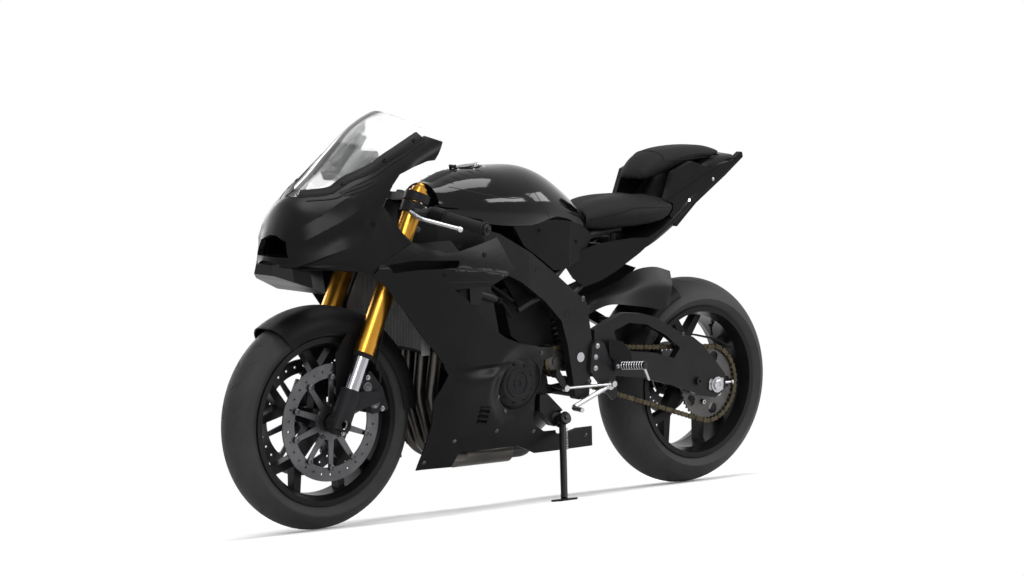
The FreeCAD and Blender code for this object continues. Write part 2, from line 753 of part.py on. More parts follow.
FRAME_OUTLINE_SHARES = [
    (1.165, 0.905), (1.12, 0.86), (1.05, 0.83), (0.95, 0.82), (0.85, 0.795), (0.75, 0.742), (0.65, 0.675),
    (0.59, 0.632), (0.53, 0.59), (0.505, 0.47), (0.515, 0.31), (0.565, 0.31), (0.6, 0.47), (0.625, 0.54),
    (0.69, 0.6), (0.78, 0.66), (0.87, 0.7), (0.95, 0.745), (1.02, 0.765), (1.12, 0.77), (1.2, 0.8)]
FRAME_PLAN_SHARES = [
    (1.25, 0.03), (1.13, 0.032), (1.03, 0.085), (0.9, 0.128), (0.75, 0.148), (0.6, 0.148), (0.48, 0.148),
    (0.48, 0.122), (0.6, 0.122), (0.75, 0.122), (0.9, 0.104), (1.03, 0.058), (1.12, 0.0), (1.25, 0.0)]


BRIDGE_LOW_SHARES = (0.54, 0, 0.325)
BRIDGE_HIGH_SHARES = (0.562, 0, 0.6)


def plan_prism(shares, low_share, high_share):
    """A prism that stands on a plan outline."""
    points = [spot(x_share, y_share, low_share) for x_share, y_share in shares]
    face = Part.Face(Part.makePolygon(points + [points[0]]))
    return face.extrude(UP * (up(high_share) - up(low_share)))


def stay_to(skin, start, end, radius):
    """A rod that starts at its carrier and stops just short of a skin."""
    way = unit(end - start)
    near = skin.copy()
    near.translate(way * -s.air_gap)
    pieces = rod(start, end, radius).cut(near).Solids
    return min(pieces, key=lambda solid: (solid.CenterOfMass - start).Length)


def main_frame():
    """Twin spars from the steering head round the engine to the swingarm pivot."""
    spar = plate(side(FRAME_OUTLINE_SHARES), 0, across(0.2), s.rim_wall * 2)
    spar = spar.common(plan_prism(FRAME_PLAN_SHARES, 0.2, 1.0))
    spar = max(spar.Solids, key=lambda solid: solid.Volume)
    base = axle_height()
    low = base + lower_clamp_height() + s.clamp_height + s.air_gap
    high = base + upper_clamp_height() - s.air_gap
    head = rod(fork_point(0, 0, low), fork_point(0, 0, high), s.stem_radius * 2.4)
    bridge_low = rod(spot(*BRIDGE_LOW_SHARES) - LEFT * across(0.13), spot(*BRIDGE_LOW_SHARES) + LEFT * across(0.13),
                     s.bridge_radius)
    bridge_high = rod(spot(*BRIDGE_HIGH_SHARES) - LEFT * across(0.13), spot(*BRIDGE_HIGH_SHARES) + LEFT * across(0.13),
                      s.bridge_radius)
    lug = plate(side([(0.93, 0.8), (0.97, 0.8), (0.97, 0.86), (0.93, 0.86)]), across(0.088), across(0.11))
    lug = lug.cut(humped(TANK_SHARES, s.air_gap))
    hanger = plate(side([(0.88, 0.74), (0.96, 0.76), (0.945, 0.6), (0.91, 0.6)]), across(0.12) + s.air_gap,
                   across(0.128), s.rim_wall)
    stay = stay_to(side_skin(s.panel_wall), spot(0.94, 0.11, 0.75), spot(0.94, 0.25, 0.75), along(0.006))
    sides = [spar, lug, hanger, stay]
    frame = fused(sides + [mirror(shape) for shape in sides] + [head, bridge_low, bridge_high])
    frame = frame.cut(rod(fork_point(0, 0, low - s.cut_overrun), fork_point(0, 0, high + s.cut_overrun),
                          s.stem_radius + s.air_gap))
    pivot = pivot_at()
    frame = frame.cut(rod(pivot - LEFT * across(0.2), pivot + LEFT * across(0.2), s.rear_axle_radius + s.air_gap))
    keep("main_frame", frame)


def pivot_at():
    return spot(0.551, 0, 0.432)


ENGINE_HALF_SHARE = 0.122


def engine():
    """Crankcase, slanted cylinder block and head, and sump."""
    half = across(ENGINE_HALF_SHARE)
    rear_half = s.chain_offset - s.chain_half_width - s.rim_wall / 2
    case = plate(side([(0.7, 0.46), (0.7, 0.272), (0.94, 0.272), (0.985, 0.31), (0.965, 0.44), (0.86, 0.46)]),
                 -half, half, s.rim_wall * 3)
    gearbox = plate(side([(0.63, 0.44), (0.63, 0.31), (0.69, 0.245), (0.8, 0.245), (0.8, 0.46), (0.7, 0.47)]),
                    -rear_half, rear_half, s.rim_wall * 3)
    block = plate(side([(0.81, 0.42), (0.965, 0.4), (1.008, 0.55), (0.98, 0.64), (0.87, 0.66)]),
                  -across(0.12), across(0.12), s.rim_wall * 2)
    sump = plate(side([(0.72, 0.3), (0.74, 0.205), (0.87, 0.205), (0.9, 0.3)]), -half * 0.6, half * 0.6, s.rim_wall)
    ear = plate(side([(0.65, 0.335), (0.553, 0.335), (0.553, 0.315), (0.65, 0.315)]), -across(0.03), across(0.03))
    ear.translate(AHEAD * s.air_gap)
    stay = stay_to(side_skin(s.panel_wall), spot(0.93, 0.11, 0.345), spot(0.93, 0.25, 0.345), along(0.006))
    keep("engine", fused([case, gearbox, block, sump, ear, stay, mirror(stay)]))
    left, right = spot(0.815, ENGINE_HALF_SHARE, 0.378), spot(0.78, -ENGINE_HALF_SHARE, 0.36)
    near = LEFT * s.air_gap
    step = LEFT * across(0.042)
    cover = fused([rod(left + near, left + step, along(0.066)),
                   Part.makeCone(along(0.066), along(0.05), across(0.016), left + step, LEFT)])
    clutch = fused([rod(right - near, right - step, along(0.06)), rod(right - step, right - step * 1.4, along(0.045))])
    keep("generator_cover", cover)
    keep("clutch_cover", clutch)


def radiator():
    """A curved core between two side tanks."""
    shares = [(1.128, 0.168), (1.09, 0.12), (1.07, 0.06), (1.065, 0), (1.07, -0.06), (1.09, -0.12), (1.128, -0.168)]
    front = [spot(x_share + 0.022, y_share, 0.475) for x_share, y_share in shares]
    back = [spot(x_share - 0.004, y_share, 0.475) for x_share, y_share in shares[::-1]]
    wire = Part.Wire([curve(front), Part.makeLine(front[-1], back[0]), curve(back), Part.makeLine(back[-1], front[0])])
    core = Part.Face(wire).extrude(UP * up(0.217))
    lug = rod(spot(1.075, 0.045, 0.685), spot(1.075, 0.045, 0.7677) - UP * s.air_gap, along(0.006))
    keep("radiator", fused([core, lug, mirror(lug)]))


def silencer_line():
    return spot(0.575, -0.12, 0.178), spot(0.4, -0.2, 0.235)


def exhaust():
    """Four header pipes that gather into one collector, and a short silencer under the right side."""
    headers = []
    for place_share in (-0.093, -0.031, 0.031, 0.093):
        points = [spot(0.9941, place_share, 0.4999), spot(1.037, place_share, 0.4876),
                  spot(1.046, place_share * 0.9, 0.35),
                  spot(0.985, place_share * 0.7, 0.18), spot(0.88, place_share * 0.2, 0.16)]
        headers.append(pipe(points, along(0.018), along(0.08)))
    collector = rod(spot(0.9, 0, 0.16), spot(0.7, 0, 0.16), along(0.034))
    keep("exhaust_headers", fused(headers + [collector]))
    link = pipe([spot(0.7, 0, 0.16) - AHEAD * s.air_gap, spot(0.63, 0, 0.16), spot(0.56, -0.115, 0.18)],
                along(0.025), along(0.08))
    start, end = silencer_line()
    tip = rod(end, end + unit(end - start) * s.silencer_radius * 0.5, s.silencer_radius * 0.6, s.silencer_radius * 0.5)
    keep("silencer", fused([link, rod(start, end, s.silencer_radius), tip]))


ARM_OUTLINE_SHARES = [
    (0.6, 0.47), (0.5, 0.505), (0.44, 0.53), (0.38, 0.55), (0.31, 0.545), (0.25, 0.53), (0.19, 0.5), (0.14, 0.475),
    (0.1, 0.465), (0.06, 0.44), (0.0, 0.385), (-0.04, 0.345), (-0.045, 0.3), (0.0, 0.275), (0.06, 0.285),
    (0.1, 0.3), (0.2, 0.33), (0.3, 0.355), (0.36, 0.362), (0.5, 0.38), (0.6, 0.4)]
ARM_WINDOW_SHARES = [(0.42, 0.5), (0.36, 0.52), (0.29, 0.512), (0.21, 0.475), (0.15, 0.435), (0.175, 0.405),
                     (0.25, 0.425), (0.34, 0.435), (0.4, 0.45)]


def bobbin_at(sign):
    """The outer end of the tapped boss for a paddock stand, left for 1 and right for -1."""
    return spot(0.075, 0.156 * sign, 0.33)


def swingarm():
    """Outer arms with an arched rail over a straight beam, joined across inside the chain's loop."""
    wide = across(0.2)
    arm = plate(side(ARM_OUTLINE_SHARES), across(0.122), across(0.146), s.rim_wall * 2)
    arm = arm.cut(plate(side(ARM_WINDOW_SHARES), 0, wide, s.rim_wall))
    arm = arm.common(plan_prism([(-0.1, 0), (-0.1, 0.2), (0.496, 0.2), (0.496, 0)], 0.2, 0.7))
    link = plate(side([(0.496, 0.37), (0.496, 0.422), (0.4, 0.42), (0.4, 0.365)]), across(0.04), across(0.14),
                 s.rim_wall)
    cheek = plate(side([(0.57, 0.41), (0.57, 0.455), (0.53, 0.47), (0.4, 0.46), (0.4, 0.365), (0.53, 0.4)]),
                  across(0.04), across(0.09), s.rim_wall)
    brace = plate(side([(0.425, 0.37), (0.425, 0.46), (0.4, 0.46), (0.4, 0.37)]), -across(0.06), across(0.06), 0)
    tube = rod(pivot_at() - LEFT * across(0.0935), pivot_at() + LEFT * across(0.0935), s.rear_axle_radius * 2)
    root = bobbin_at(1) - LEFT * across(0.02)
    boss = rod(root, bobbin_at(1), s.bobbin_boss_radius)
    body = fused([arm, link, cheek, boss, mirror(arm), mirror(link), mirror(cheek), mirror(boss), brace, tube])
    for sign in (1, -1):
        end = bobbin_at(sign)
        body = body.cut(rod(end - LEFT * s.bobbin_depth * sign, end + LEFT * s.bobbin_depth * sign, s.bobbin_radius))
    body = body.cut(rod(pivot_at() - LEFT * wide, pivot_at() + LEFT * wide, s.rear_axle_radius + s.air_gap))
    axle = rear_axle_at()
    body = body.cut(rod(axle - LEFT * wide, axle + LEFT * wide, s.rear_axle_radius + s.air_gap))
    keep("swingarm", body)
    half = across(0.15)
    keep("swingarm_pivot", rod(pivot_at() - LEFT * half, pivot_at() + LEFT * half, s.rear_axle_radius))
    nut = s.rear_axle_radius * 1.7
    end = s.rear_axle_half_length
    shaft = fused([rod(axle - LEFT * end, axle + LEFT * end, s.rear_axle_radius),
                   rod(axle + LEFT * across(0.1473), axle + LEFT * end, nut),
                   rod(axle - LEFT * end, axle - LEFT * across(0.1473), nut)])
    keep("rear_axle", shaft)


GUARD_OUTLINE_SHARES = [(0.15, 0.478), (0.06, 0.468), (-0.02, 0.452), (-0.09, 0.422), (-0.088, 0.416), (-0.018, 0.447),
                        (0.06, 0.463), (0.15, 0.472)]


def rear_brake():
    """A caliper over the rear disc, on a bracket that the axle carries, and the strip over the chain."""
    axle = rear_axle_at()
    middle = -disc_offset(s.rear_hub_half_width)
    start, stop = math.radians(118), math.radians(158)
    start, stop = math.pi - stop, math.pi - start
    points = []
    inner, outer = s.rear_disc_radius * 0.78, s.rear_disc_radius + s.caliper_half_width * 0.5
    for radius, angles in ((inner, (start, (start + stop) / 2, stop)), (outer, (stop, (start + stop) / 2, start))):
        points += [axle + Vector(math.cos(a), 0, math.sin(a)) * radius for a in angles]
    block = plate(points, middle - s.caliper_half_width, middle + s.caliper_half_width * 0.8, s.rim_wall)
    block = block.cut(rod(axle + LEFT * (middle - s.disc_wall / 2 - s.running_gap),
                          axle + LEFT * (middle + s.disc_wall / 2 + s.running_gap),
                          s.rear_disc_radius + s.running_gap))
    near = middle - s.caliper_half_width
    arm_wall = s.rim_wall * 1.5
    way = Vector(math.cos((start + stop) / 2), 0, math.sin((start + stop) / 2))
    web = plate([axle - Vector(-way.z, 0, way.x) * s.rear_hub_radius * 0.8, axle + Vector(-way.z, 0, way.x) * s.rear_hub_radius * 0.8,
                 axle + way * outer * 0.95 + Vector(-way.z, 0, way.x) * s.rear_hub_radius * 0.6,
                 axle + way * outer * 0.95 - Vector(-way.z, 0, way.x) * s.rear_hub_radius * 0.6],
                near - arm_wall, near, s.rim_wall)
    collar = rod(axle - LEFT * (across(0.122) - s.air_gap), axle + LEFT * near, s.rear_hub_radius * 0.8)
    body = fused([block, web, collar]).cut(rod(axle - LEFT * across(0.2), axle, s.rear_axle_radius + s.air_gap))
    keep("rear_caliper", body)
    guard = plate(side(GUARD_OUTLINE_SHARES), s.chain_offset - s.chain_half_width, across(0.122) - s.air_gap)
    keep("chain_guard", guard)


def brake_lines():
    """The front fluid cup on the right bar, and a hose down each leg to its caliper."""
    stalk = rod(on_bar(0.16) + AHEAD * s.bar_radius * 2, on_bar(0.16) + AHEAD * s.bar_radius * 2 + UP * s.clamp_radius,
                s.bar_radius * 0.4)
    stalk = mirror(stalk)
    foot = Vector(stalk.CenterOfMass.x, stalk.CenterOfMass.y, stalk.BoundBox.ZMax)
    body = fused([rod(foot, foot + UP * s.clamp_height, s.grip_radius), stalk,
                  rod(foot + UP * s.clamp_height, foot + UP * (s.clamp_height + s.rim_wall), s.grip_radius * 1.08)])
    body = body.cut(nodes["lever_perches"].Shape)
    keep("brake_reservoir", max(body.Solids, key=lambda solid: solid.Volume))
    low, high = s.fork_slider_height * 0.75, lower_clamp_height() - s.hose_radius
    behind = AHEAD * (s.fork_outer_radius + s.hose_radius * 3)
    start = front_axle_at() + Vector(-s.disc_radius * 0.95, disc_offset(s.front_hub_half_width) + s.caliper_half_width * 0.6,
                                     s.disc_radius * 0.62)
    route = [start, start + UP * s.clamp_radius, on_leg(low) - behind * 1.6, on_leg(high * 0.7, 0.9) - behind,
             on_leg(high, 0.8) - behind * 0.8]
    hose = pipe(route, s.hose_radius, along(0.5)).cut(nodes["triple_clamps"].Shape)
    keep("brake_hoses", both(max(hose.Solids, key=lambda solid: solid.Volume)))


def suspension():
    """Shock absorber hung from the frame's upper cross tube, on a link to the lower one."""
    hanger, foot = spot(*BRIDGE_HIGH_SHARES), spot(0.44, 0, 0.335)
    way = foot - hanger
    top = hanger + unit(way) * (s.bridge_radius + s.air_gap)
    way = foot - top
    lower = spot(*BRIDGE_LOW_SHARES)
    reach = unit(lower - foot)
    link = rod(foot, lower - reach * (s.bridge_radius + s.air_gap), s.bridge_radius * 0.8)
    body = fused([rod(top, top + way * 0.3, along(0.022)), rod(top + way * 0.25, top + way * 0.8, along(0.03)),
                  rod(top + way * 0.75, foot, along(0.013)), link])
    keep("rear_shock", body)


def hugger():
    """A thin guard over the front of the rear tyre."""
    axle = rear_axle_at()
    inner = s.rear_tyre_radius + s.fender_gap
    half = s.rear_tyre_half_width - s.fender_wall
    outer_curve = [axle + Vector(0, half + s.fender_wall, inner * 0.86), axle + Vector(0, half * 0.85, inner * 0.95),
                   axle + Vector(0, half * 0.5, inner * 1.0), axle + Vector(0, 0, inner + s.fender_wall)]
    outer_curve += [Vector(p.x, -p.y, p.z) for p in reversed(outer_curve[:3])]
    inner_curve = [axle + Vector(0, half, inner * 0.86), axle + Vector(0, half * 0.83, inner * 0.941),
                   axle + Vector(0, half * 0.49, inner * 0.99), axle + Vector(0, 0, inner)]
    inner_curve += [Vector(p.x, -p.y, p.z) for p in reversed(inner_curve[:3])]
    wire = Part.Wire([curve(outer_curve), Part.makeLine(outer_curve[-1], inner_curve[-1]),
                      curve(inner_curve[::-1]), Part.makeLine(inner_curve[0], outer_curve[0])])
    shell = Part.Face(wire).revolve(axle, LEFT, 62)
    shell.rotate(axle, LEFT, 20)
    lug = rod(spot(0.235, 0.077, 0.5045), spot(0.235, 0.122, 0.5045) - LEFT * s.air_gap, along(0.007))
    keep("rear_hugger", fused([shell, lug, mirror(lug)]))


def chain():
    """A fixed loop of chain round both sprockets."""
    back, front = rear_axle_at(), front_sprocket_at()
    big, small = pitch_radius(int(s.rear_tooth_count)), pitch_radius(int(s.front_tooth_count))

    def loop(grow):
        gap = front - back
        swing = math.asin((big - small) / gap.Length)
        tilt = math.atan2(gap.z, gap.x)
        edges = []
        ends = []
        for turn in (1, -1):
            angle = tilt + turn * (math.pi / 2 - swing)
            way = Vector(math.cos(angle), 0, math.sin(angle))
            ends.append((back + way * (big + grow), front + way * (small + grow)))
        far_back = back - unit(gap) * (big + grow)
        far_front = front + unit(gap) * (small + grow)
        edges = [Part.makeLine(ends[0][0], ends[0][1]), Part.Arc(ends[0][1], far_front, ends[1][1]).toShape(),
                 Part.makeLine(ends[1][1], ends[1][0]), Part.Arc(ends[1][0], far_back, ends[0][0]).toShape()]
        return Part.Wire(edges)

    half = s.chain_plate_height / 2
    band = Part.Face(loop(half)).cut(Part.Face(loop(-half)))
    plates = []
    wall = s.chain_half_width - s.sprocket_wall / 2 - s.air_gap * 3
    for aside in (s.chain_offset - s.chain_half_width, s.chain_offset + s.chain_half_width - wall):
        strip = band.copy()
        strip.translate(LEFT * aside)
        plates.append(strip.extrude(LEFT * wall))
    ring = Part.Face(loop(s.roller_radius)).cut(Part.Face(loop(-s.roller_radius)))
    ring.translate(LEFT * (s.chain_offset - s.chain_half_width + wall / 2))
    plates.append(ring.extrude(LEFT * (s.chain_half_width * 2 - wall)))
    keep("chain", fused(plates))
    centre = front_sprocket_at()
    near = s.chain_offset - s.chain_half_width - s.rim_wall / 2 + s.air_gap
    shaft = rod(centre + LEFT * near, centre + LEFT * (s.chain_offset + s.sprocket_wall), s.rear_axle_radius)
    keep("front_sprocket", fused([sprocket(int(s.front_tooth_count), centre, s.rear_axle_radius * 0.9), shaft]))


# Tank, seats and tail

TANK_SHARES = [
    # station, top, shoulder across and height, widest across and height, floor across and height
    (1.025, 0.935, 0.045, 0.925, 0.082, 0.88, 0.075, 0.845),
    (0.97, 0.952, 0.07, 0.935, 0.118, 0.88, 0.11, 0.838),
    (0.9, 0.972, 0.08, 0.955, 0.14, 0.885, 0.132, 0.825),
    (0.787, 0.981, 0.085, 0.962, 0.152, 0.88, 0.14, 0.815),
    (0.7, 0.98, 0.08, 0.956, 0.145, 0.87, 0.13, 0.815),
    (0.6, 0.95, 0.065, 0.925, 0.115, 0.86, 0.1, 0.81),
    (0.52, 0.905, 0.05, 0.88, 0.085, 0.845, 0.08, 0.8),
    (0.45, 0.815, 0.04, 0.812, 0.055, 0.805, 0.05, 0.795)]


def humped(stations, grow=0):
    """A closed form lofted through crowned sections with flat floors, or one that clears it by grow."""
    wires = []
    for number, (x, top, shoulder, shoulder_up, widest, widest_up, floor, floor_up) in enumerate(stations):
        shift = AHEAD * grow * ((number == 0) - (number == len(stations) - 1))
        left = [spot(x, shoulder, shoulder_up) + Vector(0, grow, grow), spot(x, widest, widest_up) + LEFT * grow,
                spot(x, floor, floor_up) + Vector(0, grow, -grow)]
        right = [Vector(point.x, -point.y, point.z) for point in left[::-1]]
        points = [point + shift for point in right + [spot(x, 0, top) + UP * grow] + left]
        wires.append(Part.Wire([curve(points), Part.makeLine(points[-1], points[0])]))
    return loft(wires)


def tank():
    form = humped(TANK_SHARES)
    base, way, ahead = cap_frame()
    form = form.cut(rod(base, base + way * s.cap_radius * 2, s.cap_radius + s.running_gap))
    hinge = cap_hinge()
    eye = s.cap_pin_radius * 2
    near, far = s.cap_knuckle_half + s.air_gap, s.cap_knuckle_half + eye
    line = [hinge + way * eye + ahead * eye, hinge - way * eye * 7 + ahead * eye,
            hinge - way * eye * 7 - ahead * eye * 0.9, hinge + way * eye - ahead * eye * 0.9]
    ears = [plate(line, near, far), plate(line, -far, -near)]
    pin = rod(hinge - LEFT * far, hinge + LEFT * far, s.cap_pin_radius)
    keep("fuel_tank", fused([form] + ears + [pin]))
    low = base + way * s.air_gap
    lid = fused([rod(low, low + way * s.cap_wall, s.cap_radius),
                 rod(low + way * s.cap_wall, low + way * s.cap_wall * 1.3, s.cap_radius * 0.6),
                 rod(hinge - LEFT * s.cap_knuckle_half, hinge + LEFT * s.cap_knuckle_half, eye),
                 plate([low + way * s.cap_wall * 0.7 + ahead * s.cap_radius * 0.8, hinge - way * eye * 0.9,
                        hinge + way * eye * 0.5, low + way * s.cap_wall + ahead * s.cap_radius * 0.8],
                       -s.cap_knuckle_half, s.cap_knuckle_half)])
    bore = rod(hinge - LEFT * s.cap_radius, hinge + LEFT * s.cap_radius, s.cap_pin_radius + s.air_gap)
    keep("fuel_cap", lid.cut(bore))


def cap_frame():
    """Where the filler cap seats, the way it opens and the way ahead along the tank's top."""
    way = unit(spot(0.012, 0, 0.065))
    return spot(0.8625, 0, 0.968), way, Vector(way.z, 0, -way.x)


def cap_hinge():
    """The middle of the hinge pin, ahead of the filler cap and just above the tank."""
    base, way, ahead = cap_frame()
    return base + way * (s.cap_wall + s.running_gap * 2) + ahead * (s.cap_radius + s.running_gap * 1.2)


COVER_OUTLINE_SHARES = [
    (0.81, 0.83), (0.7, 0.83), (0.6, 0.825), (0.52, 0.81), (0.46, 0.775), (0.49, 0.745), (0.5, 0.72),
    (0.55, 0.7), (0.6, 0.684), (0.64, 0.684), (0.7, 0.722), (0.76, 0.758)]


def tank_covers():
    """Side covers between the tank and the spars."""
    cover = plate(side(COVER_OUTLINE_SHARES), 0, across(0.16), s.rim_wall)
    band = [(0.83, 0.136), (0.7, 0.134), (0.58, 0.125), (0.45, 0.09), (0.45, 0.083), (0.58, 0.112), (0.7, 0.12),
            (0.83, 0.122)]
    cover = cover.common(plan_prism(band, 0.6, 0.9)).cut(humped(TANK_SHARES, s.air_gap))
    keep("tank_side_covers", both(max(cover.Solids, key=lambda solid: solid.Volume)))


SEAT_SHARES = [
    (0.5, 0.83, 0.04, 0.828, 0.065, 0.815, 0.06, 0.793),
    (0.45, 0.852, 0.06, 0.848, 0.095, 0.825, 0.09, 0.79),
    (0.38, 0.876, 0.085, 0.87, 0.125, 0.84, 0.115, 0.795),
    (0.3, 0.882, 0.1, 0.876, 0.14, 0.845, 0.125, 0.8),
    (0.22, 0.882, 0.1, 0.878, 0.14, 0.85, 0.125, 0.81),
    (0.165, 0.872, 0.09, 0.87, 0.12, 0.858, 0.11, 0.835)]
PAD_SHARES = [
    (0.225, 0.955, 0.03, 0.952, 0.05, 0.94, 0.045, 0.925),
    (0.16, 1.01, 0.05, 1.003, 0.078, 0.975, 0.07, 0.945),
    (0.08, 1.024, 0.06, 1.018, 0.088, 0.995, 0.08, 0.975),
    (-0.02, 1.028, 0.06, 1.022, 0.085, 1.005, 0.075, 0.99),
    (-0.075, 1.018, 0.05, 1.015, 0.07, 1.008, 0.065, 1.0)]
TAIL_SHARES = [
    (0.3, 0.76, 0.06, 0.757, 0.095, 0.745, 0.09, 0.72),
    (0.2, 0.82, 0.08, 0.812, 0.115, 0.79, 0.1, 0.76),
    (0.12, 0.9, 0.08, 0.89, 0.12, 0.85, 0.1, 0.81),
    (0.03, 0.975, 0.08, 0.966, 0.115, 0.92, 0.09, 0.87),
    (-0.06, 1.003, 0.07, 0.998, 0.1, 0.975, 0.08, 0.945),
    (-0.12, 1.006, 0.055, 1.003, 0.08, 0.997, 0.07, 0.985)]
WING_OUTLINE_SHARES = [(0.2, 0.86), (0.165, 0.955), (0.09, 0.985), (0.02, 0.965), (-0.08, 0.985), (-0.12, 1.015),
                       (-0.125, 0.995), (-0.05, 0.94), (0.07, 0.86), (0.15, 0.79)]


def seats():
    gap = s.air_gap * 2
    keep("rider_seat", humped(SEAT_SHARES).cut(humped(TANK_SHARES, gap)))
    keep("pillion_pad", humped(PAD_SHARES))
    tail = humped(TAIL_SHARES)
    wing = plate(side(WING_OUTLINE_SHARES), across(0.1), across(0.118), s.rim_wall)
    tail = fused([tail, wing, mirror(wing)]).cut(humped(SEAT_SHARES, gap)).cut(humped(PAD_SHARES, gap))
    keep("tail_cowl", max(tail.Solids, key=lambda solid: solid.Volume))


def subframe():
    """Two rails a side from the frame up to the tail."""
    high = pipe([spot(0.64, 0.1085, 0.65), spot(0.46, 0.07, 0.777), spot(0.325, 0.055, 0.788)], along(0.013), along(0.1))
    bend = spot(0.42, 0.07, 0.68)
    root = spot(*BRIDGE_HIGH_SHARES) + LEFT * across(0.098)
    low = pipe([root, bend, spot(0.28, 0.055, 0.745)], along(0.013), along(0.1))
    cross = rod(spot(0.335, -0.055, 0.73), spot(0.335, 0.055, 0.73), along(0.012))
    strut = rod(spot(0.35, 0.057, 0.72), spot(0.35, 0.057, 0.786), along(0.01))
    rails = fused([high, low, strut, mirror(high), mirror(low), mirror(strut), cross])
    middle = spot(*BRIDGE_HIGH_SHARES)
    bridge = rod(middle - LEFT * across(0.12), middle + LEFT * across(0.12), s.bridge_radius + s.air_gap)
    rails = rails.cut(humped(SEAT_SHARES, s.air_gap)).cut(humped(TAIL_SHARES, s.air_gap)).cut(bridge)
    keep("rear_subframe", max(rails.Solids, key=lambda solid: solid.Volume))


# Fairing: each panel is a thin skin cut to its side outline

NOSE_SHARES = [
    # station, top, then across and height at the shoulder, the widest place and the lower edge
    (1.546, 0.738, 0.02, 0.736, 0.032, 0.73, 0.036, 0.722),
    (1.525, 0.803, 0.035, 0.797, 0.062, 0.768, 0.075, 0.724),
    (1.49, 0.885, 0.05, 0.872, 0.097, 0.815, 0.118, 0.726),
    (1.44, 0.925, 0.06, 0.908, 0.127, 0.855, 0.152, 0.735),
    (1.4, 0.955, 0.07, 0.935, 0.15, 0.872, 0.175, 0.75),
    (1.349, 0.995, 0.075, 0.975, 0.165, 0.905, 0.19, 0.775),
    (1.3, 1.045, 0.08, 1.018, 0.172, 0.93, 0.192, 0.82),
    (1.25, 1.095, 0.085, 1.06, 0.175, 0.965, 0.19, 0.87),
    (1.19, 1.13, 0.085, 1.098, 0.172, 1.005, 0.185, 0.93),
    (1.08, 1.165, 0.085, 1.135, 0.168, 1.055, 0.178, 0.98)]
SCREEN_OUTLINE_SHARES = [(1.465, 0.9056), (1.403, 0.9156), (1.362, 0.9436), (1.25, 1.0056), (1.13, 1.0696), (1.085, 1.0536),
                         (1.14, 1.1), (1.192, 1.14), (1.3, 1.2), (1.5, 1.1)]
COWL_OUTLINE_SHARES = [(1.6, 0.9), (1.465, 0.905), (1.403, 0.915), (1.362, 0.943), (1.25, 1.005), (1.13, 1.069),
                       (1.085, 1.053), (1.113, 1.004), (1.143, 1.002), (1.191, 0.987), (1.24, 0.967),
                       (1.267, 0.938), (1.296, 0.89), (1.345, 0.803), (1.45, 0.757), (1.52, 0.722), (1.6, 0.7)]


def eased(before, after, near, far):
    """A slope between two others that keeps a curve from overshooting, for one coordinate."""
    if before * after <= 0:
        return 0
    return (near + far) / (near / before + far / after)


def smoothed(points, count):
    """Evenly spaced points on a curve that passes through the given ones and never overshoots them."""
    steps = [(after - before).Length for before, after in zip(points, points[1:])]
    rates = [(after - before) * (1 / step) for before, after, step in zip(points, points[1:], steps)]
    slopes = [rates[0]]
    for index in range(1, len(rates)):
        slopes.append(Vector(*[eased(*pair, steps[index - 1], steps[index])
                               for pair in zip(rates[index - 1], rates[index])]))
    slopes.append(rates[-1])
    total = sum(steps)
    made = []
    for number in range(count):
        run = total * number / (count - 1)
        index = 0
        while index < len(steps) - 1 and run > steps[index]:
            run -= steps[index]
            index += 1
        step = steps[index]
        share = min(run / step, 1)
        rest = 1 - share
        made.append(points[index] * (rest ** 2 * (1 + 2 * share)) + points[index + 1] * (share ** 2 * (1 + 2 * rest))
                    + (slopes[index] * rest - slopes[index + 1] * share) * (share * rest * step))
    return made


ROWS_ALONG = 22
ROWS_ACROSS = 13


def fine_grid(grid):
    """The same surface through more, evenly spread points."""
    rows = [smoothed(points, ROWS_ACROSS) for points in grid]
    columns = [smoothed(list(column), ROWS_ALONG) for column in zip(*rows)]
    return [list(row) for row in zip(*columns)]


def patch(grid):
    """A smooth face through rows of points."""
    surface = Part.BSplineSurface()
    surface.interpolate(grid)
    return surface.toShape()


def grid_normal(grid, row, column):
    """The direction square to the grid at one of its points."""
    first, last = grid[max(row - 1, 0)], grid[min(row + 1, len(grid) - 1)]
    along_way = last[column] - first[column]
    points = grid[row]
    across_way = points[min(column + 1, len(points) - 1)] - points[max(column - 1, 0)]
    return unit(along_way.cross(across_way))


def skin(grid, wall):
    """A thin shell whose outer face passes through the grid, with its wall on the left of the rows."""
    grid = fine_grid(grid)
    inner = [[point - grid_normal(grid, row, column) * wall for column, point in enumerate(points)]
             for row, points in enumerate(grid)]
    outside, inside = patch(grid), patch(inner)
    rims = [Part.makeRuledSurface(*edges) for edges in zip(outside.Edges, inside.Edges)]
    sewn = Part.makeCompound([outside, inside] + rims)
    sewn.sewShape()
    solid = Part.makeSolid(sewn.Shells[0])
    return solid if solid.Volume > 0 else solid.reversed()


def nose_skin(wall):
    """The whole nose and screen as one thin bubble."""
    grid = []
    for x, top, shoulder, shoulder_up, widest, widest_up, edge, edge_up in NOSE_SHARES:
        shares = [(edge, edge_up), (widest, widest_up), (shoulder, shoulder_up)]
        half = [spot(x, y_share, z_share) for y_share, z_share in shares]
        grid.append(half + [spot(x, 0, top)] + [Vector(p.x, -p.y, p.z) for p in reversed(half)])
    return skin(grid, wall)


MOUTH_SHARES = [(-0.095, 0.748), (0.095, 0.748), (0.075, 0.79), (0.02, 0.805), (-0.02, 0.805), (-0.075, 0.79),
                (-0.095, 0.748)]
CHIN_SHARES = [
    # station, half across, low and high
    (1.552, 0.045, 0.7, 0.727),
    (1.515, 0.088, 0.684, 0.74),
    (1.47, 0.108, 0.668, 0.745),
    (1.43, 0.11, 0.65, 0.745)]


